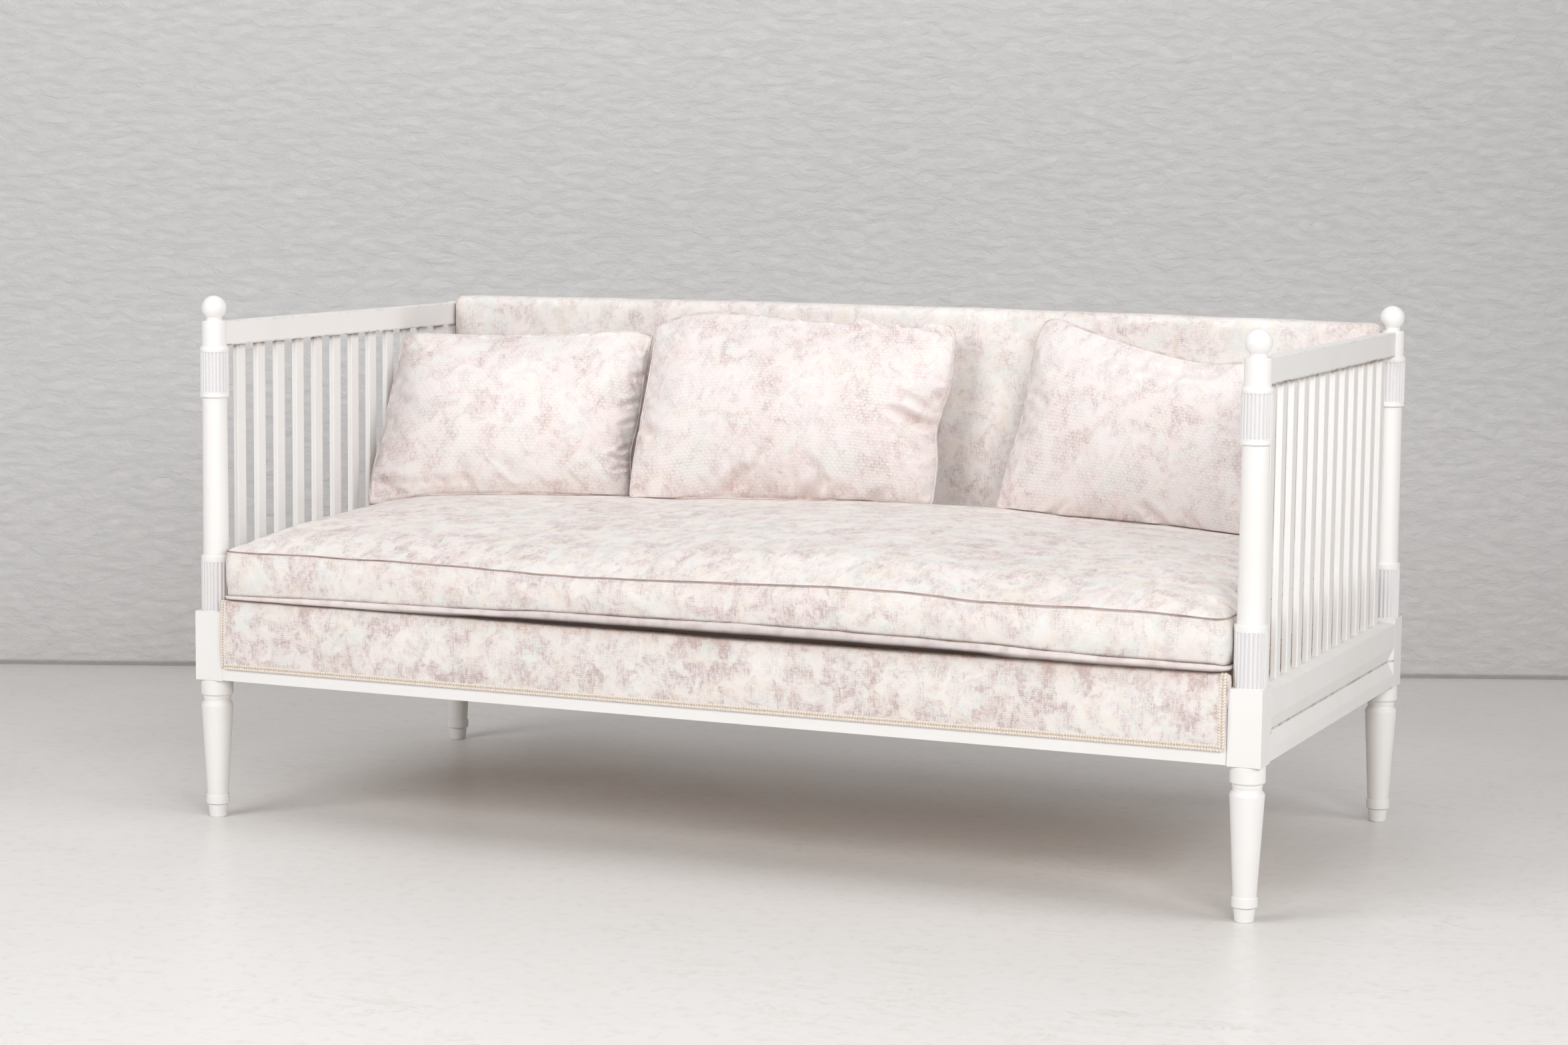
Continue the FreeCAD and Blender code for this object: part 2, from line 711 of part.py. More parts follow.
def back_section(x, thickness, top):
    """One upright section of the back's padding: its crowned face and its rolled top."""
    rear = back_rear + outer_cover_thickness
    edge = back_front - back_pad_edge
    bottom = seat_top + back_pad_foot_gap
    roll, ease = back_pad_round, eighth(back_pad_round)
    start = (x, back_front, bottom)
    steps = [
        [(x, edge, bottom)],
        [(x, back_front - thickness, (bottom + top) / 2), (x, edge, top - roll)],
        [(x, edge + ease, top - ease), (x, edge + roll, top)],
        [(x, rear - roll, top)],
        [(x, rear - ease, top - ease), (x, rear, top - roll)],
        [(x, rear, back_frame_top)],
        [(x, back_front, back_frame_top)],
        [start],
    ]
    return wire_through(start, steps)


def make_back_lap():
    """The padding's right end, which laps round the frame before the rear post's column."""
    bottom = seat_top + back_pad_foot_gap
    rear = post_y - low_ring_radius - back_lap_gap
    roll, ease = back_lap_round, eighth(back_lap_round)
    sections = []
    for along, inward in back_lap_shares:
        x = share_of(back_half, back_half + back_lap_reach, along)
        inset = back_lap_reach * inward
        front = back_front - back_pad_edge + inset
        top = back_frame_top + back_pad_end_rise - back_lap_drop - inset
        start = (x, rear, bottom)
        steps = [
            [(x, front, bottom)],
            [(x, front, top - roll)],
            [(x, front + ease, top - ease), (x, front + roll, top)],
            [(x, rear, top)],
            [start],
        ]
        sections.append(wire_through(start, steps))
    return Part.makeLoft(sections, True, True)


def make_back_padding():
    """The stuffed and covered face of the back, rolled over its top edge and lapped before the rear posts."""
    sections = []
    for place, fullness in back_station_shares:
        thickness = share_of(back_pad_edge, back_pad_crown, fullness)
        rise = share_of(back_pad_end_rise, back_pad_top_rise, fullness)
        x = share_of(-back_half, back_half, place)
        sections.append(back_section(x, thickness, back_frame_top + rise))
    lap = make_back_lap()
    return joined([Part.makeLoft(sections, True, True), lap, mirrored(lap)])


def seat_inset(place):
    """How far the cushion's rounded corners draw its front and rear in at a share of the half length."""
    reach = abs(place) * seat_half - (seat_half - seat_corner_round)
    if reach <= 0:
        return 0
    return seat_corner_round - math.sqrt(seat_corner_round**2 - reach**2)


def seat_section(x, crown, inset):
    """One section of the seat cushion across its depth."""
    front, rear = seat_front + inset, seat_rear - inset
    low, high = seat_seam_low, seat_seam_high
    floor = seat_top + slide_gap
    top = [(x, share_of(front, rear, share), high + crown * rise) for share, rise in seat_crown_shares]
    start = (x, front + seat_bottom_inset, floor)
    steps = [
        [(x, front, low)],
        [(x, front - seat_side_bulge, (low + high) / 2), (x, front, high)],
        [top[0], top[1]],
        [top[2], top[3]],
        [(x, rear, high)],
        [(x, rear, low)],
        [(x, rear - seat_bottom_inset, floor)],
        [start],
    ]
    return wire_through(start, steps)


def make_seat_cushion():
    """The boxed seat cushion, with a full crown that is higher right of the middle, and rounded corners."""
    sections = []
    for place, fullness in seat_station_shares:
        sections.append(seat_section(place * seat_half, seat_crown * fullness, seat_inset(place)))
    return Part.makeLoft(sections, True, True)


def cushion_corner(shares):
    """A seam corner of a loose cushion from its shares along the seat, across it and up the back."""
    x_share, y_share, z_share = shares
    y = share_of(seat_front, seat_rear, y_share)
    z = share_of(seat_seam_high, back_frame_top + back_pad_end_rise, z_share)
    return Vector(x_share * seat_half, y, z)


def make_loose_cushion(corner_shares):
    """A soft cushion between four seam corners, fuller in front than behind, its top edge drawn in."""
    low_left, low_right, high_left, high_right = [cushion_corner(shares) for shares in corner_shares]
    along = (low_right - low_left) + (high_right - high_left)
    upward = (high_left - low_left) + (high_right - low_right)
    front = along.cross(upward).normalize()
    rise = Vector(upward).normalize()
    sections = []
    for share in cushion_station_shares:
        swell = math.sqrt(1 - abs(2 * share - 1) ** cushion_fullness_share)
        low = share_of(low_left, low_right, share) + AXIS_Z * cushion_lift
        high = share_of(high_left, high_right, share) - rise * (cushion_draw * 4 * share * (1 - share))
        middle = (low + high) / 2
        ahead = middle + front * (cushion_edge + cushion_front_bulge * swell)
        behind = middle - front * (cushion_edge + cushion_back_bulge * swell)
        arcs = (Part.Arc(low, ahead, high), Part.Arc(high, behind, low))
        sections.append(Part.Wire([arc.toShape() for arc in arcs]))
    return Part.makeLoft(sections, True, False)


def save_pair(shape, node):
    """Writes a right-hand piece and its mirror image on the left."""
    save(shape, node + "_right")
    save(mirrored(shape), node + "_left")


def build_frame():
    """Posts, finials, arms, rails and fixed seat. The left rear post has lost its finial."""
    save_pair(make_post(-1), "post_front")
    save_pair(make_post(1), "post_rear")
    save(make_finial(post_x, -post_y), "finial_front_right")
    save(make_finial(-post_x, -post_y), "finial_front_left")
    save(make_finial(post_x, post_y), "finial_rear_right")
    save_pair(make_arm_rail(), "arm_rail")
    for index, y in enumerate(slat_places(), start=1):
        save_pair(make_arm_slat(y), "arm_slat_%02d" % index)
    save_pair(make_side_rail(), "side_rail")
    save(make_rear_rail(), "rear_rail")
    save(make_front_bearer(), "front_bearer")
    save(make_rear_ledger(), "rear_ledger")
    save(make_fixed_slats(), "fixed_seat_slats")
    save_pair(make_runner(), "slide_runner")


def build_slide():
    """The pull-out front with its slats, batten and folding legs."""
    save(make_front_board(), "front_board")
    save(make_front_padding(), "front_padding")
    save(make_gimp_braid(), "gimp_braid")
    save(make_moving_slats(), "moving_seat_slats")
    save(make_slide_batten(), "slide_batten")
    save_pair(make_support_leg(), "support_leg")
    save_pair(make_leg_bolt(), "leg_bolt")


def build_back():
    """The back's frame, padding and rear cover."""
    save(make_back_rail(back_frame_top - back_top_rail_height, back_top_rail_height), "back_top_rail")
    save(make_back_rail(rail_top, back_bottom_rail_height), "back_bottom_rail")
    save_pair(make_back_stile(), "back_stile")
    save(make_back_outer_cover(), "back_outer_cover")
    save(make_back_padding(), "back_padding")


def build_cushions():
    """The seat cushion and the three loose cushions."""
    save(make_seat_cushion(), "seat_cushion")
    save(make_loose_cushion(left_cushion_shares), "cushion_left")
    save(make_loose_cushion(centre_cushion_shares), "cushion_centre")
    save(make_loose_cushion(right_cushion_shares), "cushion_right")


os.makedirs("parts", exist_ok=True)
build_frame()
build_slide()
build_back()
build_cushions()
print("slide travel %.1f, arm slat gap %.1f" % (slide_travel, slat_gap))
print("seat slat width %.1f" % seat_slat_width)
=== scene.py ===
"""Looks of a white-painted bench bed: turned posts, slatted arms, printed upholstery and a front that pulls out.

Every piece is built in metres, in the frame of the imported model: +X along the seat, +Y to the back, +Z up.
"""

import logging
import math
from bisect import bisect_right
from dataclasses import dataclass, field
from enum import Enum
from typing import Callable, Iterable

import bmesh
import bpy
from mathutils import Matrix, Vector, noise
from mathutils.bvhtree import BVHTree


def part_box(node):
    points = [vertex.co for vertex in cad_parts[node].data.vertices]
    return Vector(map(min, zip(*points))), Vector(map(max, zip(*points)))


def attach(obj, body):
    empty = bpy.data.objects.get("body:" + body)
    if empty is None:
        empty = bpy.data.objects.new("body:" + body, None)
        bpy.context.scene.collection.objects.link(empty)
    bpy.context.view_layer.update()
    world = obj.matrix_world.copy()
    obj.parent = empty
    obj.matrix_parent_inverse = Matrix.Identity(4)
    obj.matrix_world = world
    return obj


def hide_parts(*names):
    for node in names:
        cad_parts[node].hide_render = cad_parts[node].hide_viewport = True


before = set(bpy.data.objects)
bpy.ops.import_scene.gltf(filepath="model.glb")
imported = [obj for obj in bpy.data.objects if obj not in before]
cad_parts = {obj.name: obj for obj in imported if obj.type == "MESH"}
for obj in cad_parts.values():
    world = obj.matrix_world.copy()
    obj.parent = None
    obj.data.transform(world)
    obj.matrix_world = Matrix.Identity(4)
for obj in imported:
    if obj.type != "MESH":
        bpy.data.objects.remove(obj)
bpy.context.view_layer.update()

log = logging.getLogger("bench_bed")

Colour = tuple[float, float, float]
Point = tuple[float, float, float]

ON_RIM = 0.9999  # a share of a panel beyond which a point is on its rim
SNUG = 1e-4  # a difference too small to count
FOOT_CORNER = 0.75 * math.pi + SNUG  # turns a panel's lower left corner to the start of its rim
FRONT_FACE, FRONT_FOOT, FRONT_TOP, FRONT_ROLL = -0.460, 0.264, 0.3858, 0.0095  # the front cover, in section
BACK_FACE, BACK_FOOT, BACK_TOP = 0.388, 0.389, 0.867  # the back's padding, in section


# ---- Small tools ----


@dataclass(frozen=True)
class Course:
    """A smooth run of values through stations, which never swings past them."""

    stations: tuple[tuple[float, float], ...]

    def at(self, place: float) -> float:
        """The value at a place.

        Args:
            place: Where to read the course, in the stations' own unit.

        Returns:
            The value there, and the end values beyond the ends.
        """
        if place <= self.stations[0][0]:
            return self.stations[0][1]
        if place >= self.stations[-1][0]:
            return self.stations[-1][1]
        i = bisect_right([s[0] for s in self.stations], place) - 1
        (x0, y0), (x1, y1) = self.stations[i], self.stations[i + 1]
        run = x1 - x0
        t = (place - x0) / run
        left, right = self._slope(i) * run, self._slope(i + 1) * run
        return ((1 + 2 * t) * (1 - t) ** 2 * y0 + t * (1 - t) ** 2 * left
                + t * t * (3 - 2 * t) * y1 - t * t * (1 - t) * right)

    def _slope(self, i: int) -> float:
        """The slope at one station.

        Args:
            i: The station's number.

        Returns:
            Zero at a peak or trough, else a mean of the slopes beside it.
        """
        def rise(k: int) -> float:
            """Slope of the run after station k."""
            (x0, y0), (x1, y1) = self.stations[k], self.stations[k + 1]
            return (y1 - y0) / (x1 - x0)

        if i == 0:
            return rise(0)
        if i == len(self.stations) - 1:
            return rise(i - 1)
        before, after = rise(i - 1), rise(i)
        if before * after <= 0:
            return 0.0
        return 2 * before * after / (before + after)


def soft_step(low: float, high: float, value: float) -> float:
    """A smooth rise from 0 at low to 1 at high."""
    t = min(1.0, max(0.0, (value - low) / (high - low)))
    return t * t * (3 - 2 * t)


def bunched(share: float, pull: float = 0.4) -> float:
    """Moves a share from -1 to 1 so that rows lie closer near the ends, the more the stronger the pull."""
    return (1 - pull) * share + pull * math.sin(share * math.pi / 2)


def rounded(x: float, y: float, half_x: float, half_y: float, radius: float) -> tuple[float, float]:
    """Rounds the corners of a rectangle centred on the origin.

    Args:
        x: Place across.
        y: Place along.
        half_x: Half the width.
        half_y: Half the height.
        radius: The corners' radius.

    Returns:
        The place, drawn in where it is in a corner.
    """
    over_x, over_y = abs(x) - (half_x - radius), abs(y) - (half_y - radius)
    if over_x <= 0 or over_y <= 0:
        return x, y
    shrink = max(over_x, over_y) / math.hypot(over_x, over_y)
    return (math.copysign(half_x - radius + over_x * shrink, x),
            math.copysign(half_y - radius + over_y * shrink, y))


def set_order(shape: bmesh.types.BMesh) -> None:
    """Numbers a mesh's points, edges and faces by place, so that each run gives the same mesh.

    Args:
        shape: The bmesh, which keeps its shape.
    """
    for number, vertex in enumerate(sorted(shape.verts, key=lambda v: v.co[:])):
        vertex.index = number
    shape.verts.sort()
    for parts in (shape.edges, shape.faces):
        for number, part in enumerate(sorted(parts, key=lambda p: sorted(v.index for v in p.verts))):
            part.index = number
        parts.sort()


def finished_mesh(name: str, shape: bmesh.types.BMesh, smooth: bool = True) -> bpy.types.Object:
    """Turns a finished bmesh into an object of the scene.

    Args:
        name: The piece's name.
        shape: The bmesh, which is freed.
        smooth: Whether its faces are shaded smooth.

    Returns:
        The object, at the origin.
    """
    mesh = bpy.data.meshes.new(name)
    shape.to_mesh(mesh)
    shape.free()
    if smooth:
        mesh.shade_smooth()
    piece = bpy.data.objects.new(name, mesh)
    bpy.context.scene.collection.objects.link(piece)
    return piece


def tree_of(piece: bpy.types.Object) -> BVHTree:
    """A search tree of a piece's faces as they show, with its modifiers."""
    return BVHTree.FromObject(piece, bpy.context.evaluated_depsgraph_get())


# ---- Node tools and shared effects ----


class NodeBench:
    """Places nodes in one tree and joins them."""

    def __init__(self, tree: bpy.types.NodeTree) -> None:
        """Starts on the tree of a material or a group."""
        self.tree = tree

    def put(self, kind: str, inputs: dict | None = None, **settings: object) -> bpy.types.Node:
        """Adds one node.

        Args:
            kind: The node's type, without its "ShaderNode".
            inputs: What goes to each socket, by name or number: a socket to join or a plain value.
            settings: The node's own settings.

        Returns:
            The node.
        """
        node = self.tree.nodes.new(kind if kind.startswith("Node") else "ShaderNode" + kind)
        for name, value in settings.items():
            setattr(node, name, value)
        self.feed(node, inputs or {})
        return node

    def feed(self, node: bpy.types.Node, inputs: dict) -> None:
        """Joins or sets a node's inputs.

        Args:
            node: The node.
            inputs: What goes to each socket, by name or number: a socket to join or a plain value.
        """
        for key, value in inputs.items():
            socket = node.inputs[key]
            if isinstance(value, bpy.types.NodeSocket):
                self.tree.links.new(value, socket)
            else:
                socket.default_value = (*value, 1.0) if socket.type == "RGBA" and len(value) == 3 else value

    def sum_up(self, operation: str, first: object, second: object = 0.0, third: object = 0.0,
               clamp: bool = False) -> bpy.types.NodeSocket:
        """One step of arithmetic by the Math node, kept from 0 to 1 where clamp is set."""
        return self.put("Math", {0: first, 1: second, 2: third}, operation=operation, use_clamp=clamp).outputs[0]

    def rise(self, value: bpy.types.NodeSocket, low: object, high: object, to: float = 1.0,
             start: float = 0.0) -> bpy.types.NodeSocket:
        """A smooth rise, from start at low to the value "to" at high."""
        inputs = {"Value": value, "From Min": low, "From Max": high, "To Min": start, "To Max": to}
        return self.put("MapRange", inputs, interpolation_type="SMOOTHSTEP").outputs[0]

    def blend(self, share: object, first: object, second: object, way: str = "MIX") -> bpy.types.NodeSocket:
        """Mixes two colours or sockets, by how much of the second shows."""
        return self.put("Mix", {0: share, 6: first, 7: second}, data_type="RGBA", blend_type=way).outputs[2]

    def cloud(self, vector: bpy.types.NodeSocket, scale: object, detail: float = 3.0, roughness: float = 0.5,
              distortion: float = 0.0) -> bpy.types.NodeSocket:
        """Noise at a place: features to the metre, finer layers, their strength and the warp."""
        return self.put("TexNoise", {"Vector": vector, "Scale": scale, "Detail": detail, "Roughness": roughness,
                                     "Distortion": distortion}).outputs["Fac"]

    def stretched(self, vector: bpy.types.NodeSocket, scale: Point, place: Point = (0, 0, 0)) -> bpy.types.NodeSocket:
        """A place stretched along each axis and then moved."""
        return self.put("Mapping", {"Vector": vector, "Scale": scale, "Location": place}).outputs[0]


class Effect:
    """A shader node group that several materials share, built once."""

    name = "effect"
    inputs: tuple[tuple[str, str, object], ...] = ()
    outputs: tuple[tuple[str, str], ...] = ()

    def group(self) -> bpy.types.NodeTree:
        """The group itself.

        Returns:
            The node tree, built the first time it is asked for.
        """
        known = bpy.data.node_groups.get(self.name)
        if known:
            return known
        tree = bpy.data.node_groups.new(self.name, "ShaderNodeTree")
        for name, kind, value in self.inputs:
            socket = tree.interface.new_socket(name, in_out="INPUT", socket_type="NodeSocket" + kind)
            if value is not None:
                socket.default_value = value
        for name, kind in self.outputs:
            tree.interface.new_socket(name, in_out="OUTPUT", socket_type="NodeSocket" + kind)
        bench = NodeBench(tree)
        given = bench.put("NodeGroupInput").outputs
        made = self.draw(bench, given)
        bench.put("NodeGroupOutput", {name: made[name] for name, _ in self.outputs})
        return tree

    def draw(self, bench: NodeBench, given: bpy.types.NodeOutputs) -> dict[str, bpy.types.NodeSocket]:
        """Draws the group's nodes from its inputs, and gives the socket for each output by name."""
        raise NotImplementedError

    def place(self, bench: NodeBench, inputs: dict) -> bpy.types.NodeOutputs:
        """Places the group in a material with its own values, and gives its outputs."""
        return bench.put("Group", inputs, node_tree=self.group()).outputs


class BlurredPrint(Effect):
    """A soft printed mottle of faded blossoms in mauve on cream, with hints of pale green and tan."""

    name = "blurred_print"
    inputs = (("Vector", "Vector", None), ("Ground", "Color", None), ("Blush", "Color", None),
              ("Blossom", "Color", None), ("Leaf", "Color", None), ("Straw", "Color", None),
              ("Strength", "Float", 1.0))
    outputs = (("Color", "Color"), ("Mask", "Float"))

    def draw(self, bench: NodeBench, given: bpy.types.NodeOutputs) -> dict[str, bpy.types.NodeSocket]:
        """Draws clouds of blossom, brush-like streaks in them and a few tints of the ground.

        Args:
            bench: Where they go.
            given: The group's inputs.

        Returns:
            The print's colour and how much of it is blossom.
        """
        place = given["Vector"]
        warp = bench.put("TexNoise", {"Vector": place, "Scale": 24.0, "Detail": 4.0, "Roughness": 0.62})
        moved = bench.put("VectorMath", {0: warp.outputs["Color"], 1: (0.5, 0.5, 0.5)}, operation="SUBTRACT").outputs[0]
        moved = bench.put("VectorMath", {0: moved, "Scale": 0.045}, operation="SCALE").outputs[0]
        moved = bench.put("VectorMath", {0: place, 1: moved}, operation="ADD").outputs[0]
        fields = bench.rise(bench.cloud(moved, 7.5, 3.0, 0.5), 0.36, 0.66)
        petals = bench.cloud(bench.stretched(moved, (1.0, 0.85, 1.0), (3.1, 1.7, 0)), 31.0, 6.0, 0.62, 0.5)
        petals = bench.rise(petals, 0.38, 0.68)
        blots = bench.cloud(bench.stretched(moved, (1, 1, 1), (9.2, 0.4, 0)), 85.0, 5.0, 0.7, 0.9)
        blots = bench.rise(blots, 0.36, 0.64)
        gaps = bench.cloud(bench.stretched(moved, (1.5, 0.8, 1.0), (2.2, 6.1, 0)), 48.0, 5.0, 0.7, 1.3)
        gaps = bench.rise(gaps, 0.45, 0.64)
        across = bench.cloud(bench.stretched(place, (0.2, 1.0, 1.0), (0, 5.3, 0)), 380.0, 2.0, 0.6)
        upright = bench.cloud(bench.stretched(place, (1.0, 0.14, 1.0), (4.1, 0, 0)), 380.0, 2.0, 0.6)
        hatch = bench.rise(bench.sum_up("MULTIPLY_ADD", upright, 1.4, across), 0.95, 1.45, 1.55, 0.45)
        leaf = bench.cloud(bench.stretched(moved, (1, 1, 1), (7.7, 2.2, 0)), 19.0, 4.0, 0.6, 0.5)
        leaf = bench.rise(leaf, 0.47, 0.66, 0.75)
        straw = bench.cloud(bench.stretched(moved, (1, 1, 1), (1.3, 8.8, 0)), 24.0, 4.0, 0.6, 0.5)
        straw = bench.rise(straw, 0.49, 0.68, 0.85)
        ground = bench.blend(bench.sum_up("MULTIPLY_ADD", fields, 0.5, bench.sum_up("MULTIPLY", blots, 0.4)),
                             given["Ground"], given["Blush"])
        ground = bench.blend(leaf, ground, given["Leaf"])
        ground = bench.blend(straw, ground, given["Straw"])
        thick = bench.sum_up("MULTIPLY_ADD", fields, 0.42, 0.42)
        mask = bench.sum_up("MULTIPLY", petals, thick)
        mask = bench.sum_up("MULTIPLY", mask, bench.sum_up("MULTIPLY_ADD", blots, 0.8, 0.5))
        mask = bench.sum_up("MULTIPLY", mask, bench.sum_up("MULTIPLY_ADD", gaps, -0.6, 1.1))
        mask = bench.sum_up("MULTIPLY", bench.sum_up("MULTIPLY", mask, hatch), given["Strength"], clamp=True)
        return {"Color": bench.blend(mask, ground, given["Blossom"]), "Mask": mask}


class WovenCells(Effect):
    """Small raised cells in brick rows, with the threads of the weave between them."""

    name = "woven_cells"
    inputs = (("Vector", "Vector", None), ("Cell", "Float", 0.010))
    outputs = (("Height", "Float"), ("Groove", "Float"))
    threads = 900.0

    def draw(self, bench: NodeBench, given: bpy.types.NodeOutputs) -> dict[str, bpy.types.NodeSocket]:
        """Draws the cells' grooves and a fine thread noise.

        Args:
            bench: Where they go.
            given: The group's inputs.

        Returns:
            The height of the relief and where its grooves are.
        """
        sway = bench.cloud(given["Vector"], 40.0, 2.0)
        sway = bench.sum_up("MULTIPLY_ADD", sway, 0.006, -0.003)
        place = bench.put("VectorMath", {0: given["Vector"], 1: sway}, operation="ADD").outputs[0]
        row, gap = (bench.sum_up("MULTIPLY", given["Cell"], share) for share in (0.66, 0.3))
        groove = bench.put("TexBrick", {"Vector": place, "Scale": 1.0, "Mortar Size": gap, "Mortar Smooth": 1.0,
                                        "Brick Width": given["Cell"], "Row Height": row}).outputs["Fac"]
        plain = bench.rise(bench.cloud(given["Vector"], 9.0, 3.0), 0.36, 0.6, 0.4, 1.0)
        groove = bench.sum_up("MULTIPLY", groove, plain)
        across = bench.cloud(bench.stretched(given["Vector"], (1.0, 0.18, 1.0)), self.threads, 1.0)
        along = bench.cloud(bench.stretched(given["Vector"], (0.18, 1.0, 1.0)), self.threads, 1.0)
        thread = bench.sum_up("MAXIMUM", across, along)
        height = bench.sum_up("MULTIPLY_ADD", groove, -1.0, bench.sum_up("MULTIPLY", thread, 0.35))
        return {"Height": height, "Groove": groove}


class BrushedPaint(Effect):
    """Hand-brushed paint: fine strokes along the wood, a slight cloud of tone, and chips where edges wear."""

    name = "brushed_paint"
    inputs = (("Vector", "Vector", None), ("Wear", "Float", 0.2), ("Edge", "Float", 0.003))
    outputs = (("Tone", "Float"), ("Chips", "Float"), ("Height", "Float"))

    def draw(self, bench: NodeBench, given: bpy.types.NodeOutputs) -> dict[str, bpy.types.NodeSocket]:
        """Draws the strokes and finds the edges by how far a rounded normal turns from the true one.

        Args:
            bench: Where they go.
            given: The group's inputs.

        Returns:
            The tone, the chips and the height of the paint.
        """
        strokes = bench.cloud(bench.stretched(given["Vector"], (1.0, 1.0, 0.05)), 420.0, 3.0, 0.6)
        tone = bench.cloud(given["Vector"], 7.0, 3.0, 0.6)
        round_normal = bench.put("Bevel", {"Radius": given["Edge"]}, samples=6).outputs[0]
        true_normal = bench.put("NewGeometry").outputs["Normal"]
        turn = bench.put("VectorMath", {0: round_normal, 1: true_normal}, operation="DOT_PRODUCT").outputs["Value"]
        edge = bench.rise(turn, 0.8, 0.97, 0.0, 1.0)
        specks = bench.cloud(bench.stretched(given["Vector"], (1.0, 1.0, 0.4)), 150.0, 4.0, 0.65)
        patches = bench.cloud(given["Vector"], 14.0, 2.0)
        level = bench.sum_up("MULTIPLY_ADD", bench.sum_up("MULTIPLY", patches, given["Wear"]), -0.62, 0.86)
        chip = bench.rise(bench.sum_up("SUBTRACT", bench.sum_up("MULTIPLY", specks, edge), level), 0.0, 0.025)
        height = bench.sum_up("MULTIPLY_ADD", chip, -1.6, strokes)
        return {"Tone": tone, "Chips": chip, "Height": height}


class PineGrain(Effect):
    """Rings and fibres of plain pine that run along Z."""

    name = "pine_grain"
    inputs = (("Vector", "Vector", None), ("Early", "Color", None), ("Late", "Color", None))
    outputs = (("Color", "Color"), ("Height", "Float"))

    def draw(self, bench: NodeBench, given: bpy.types.NodeOutputs) -> dict[str, bpy.types.NodeSocket]:
        """Draws the rings as bands that noise bends, with fibres over them.

        Args:
            bench: Where they go.
            given: The group's inputs.

        Returns:
            The wood's colour and its height.
        """
        bend = bench.cloud(bench.stretched(given["Vector"], (1, 1, 0.12)), 16.0, 3.0, 0.6)
        place = bench.put("VectorMath", {0: bench.stretched(given["Vector"], (1, 1, 0.06)),
                                         1: bench.sum_up("MULTIPLY", bend, 0.06)}, operation="ADD").outputs[0]
        rings = bench.put("TexWave", {"Vector": place, "Scale": 34.0, "Distortion": 1.4, "Detail": 2.0},
                          wave_type="BANDS", bands_direction="DIAGONAL").outputs["Fac"]
        fibre = bench.cloud(bench.stretched(given["Vector"], (1, 1, 0.03)), 700.0, 3.0, 0.7)
        share = bench.sum_up("MULTIPLY_ADD", fibre, 0.4, bench.sum_up("MULTIPLY", rings, 0.55))
        return {"Color": bench.blend(share, given["Early"], given["Late"]), "Height": fibre}


# ---- Finishes ----


class Along(Enum):
    """Which way the wood's length runs, with the turn that lays its grain along Z."""

    LENGTH = (0.0, math.pi / 2, 0.0)
    DEPTH = (math.pi / 2, 0.0, 0.0)
    HEIGHT = (0.0, 0.0, 0.0)


@dataclass(frozen=True)
class Finish:
    """What every finish has: a name, one Principled shader and a bump."""

    name: str

    def start(self) -> tuple[NodeBench, bpy.types.Node]:
        """An empty material with its shader.

        Returns:
            The bench for its nodes, and the Principled node.
        """
        material = bpy.data.materials.new(self.name)
        material.use_nodes = True
        material.node_tree.nodes.clear()
        bench = NodeBench(material.node_tree)
        shader = bench.put("BsdfPrincipled")
        bench.put("OutputMaterial", {"Surface": shader.outputs[0]})
        return bench, shader

    def material(self) -> bpy.types.Material:
        """The finish as a material.

        Returns:
            The material, built the first time it is asked for.
        """
        known = bpy.data.materials.get(self.name)
        if known:
            return known
        self.paint(*self.start())
        return bpy.data.materials[self.name]

    def paint(self, bench: NodeBench, shader: bpy.types.Node) -> None:
        """Draws the finish with the material's nodes, for its Principled node."""
        raise NotImplementedError

    def relief(self, bench: NodeBench, shader: bpy.types.Node, height: bpy.types.NodeSocket, depth: float,
               strength: float = 1.0) -> None:
        """Gives the shader a bump, in which a height of 1 is so many metres deep."""
        bump = bench.put("Bump", {"Height": height, "Distance": depth, "Strength": strength})
        bench.feed(shader, {"Normal": bump.outputs[0]})


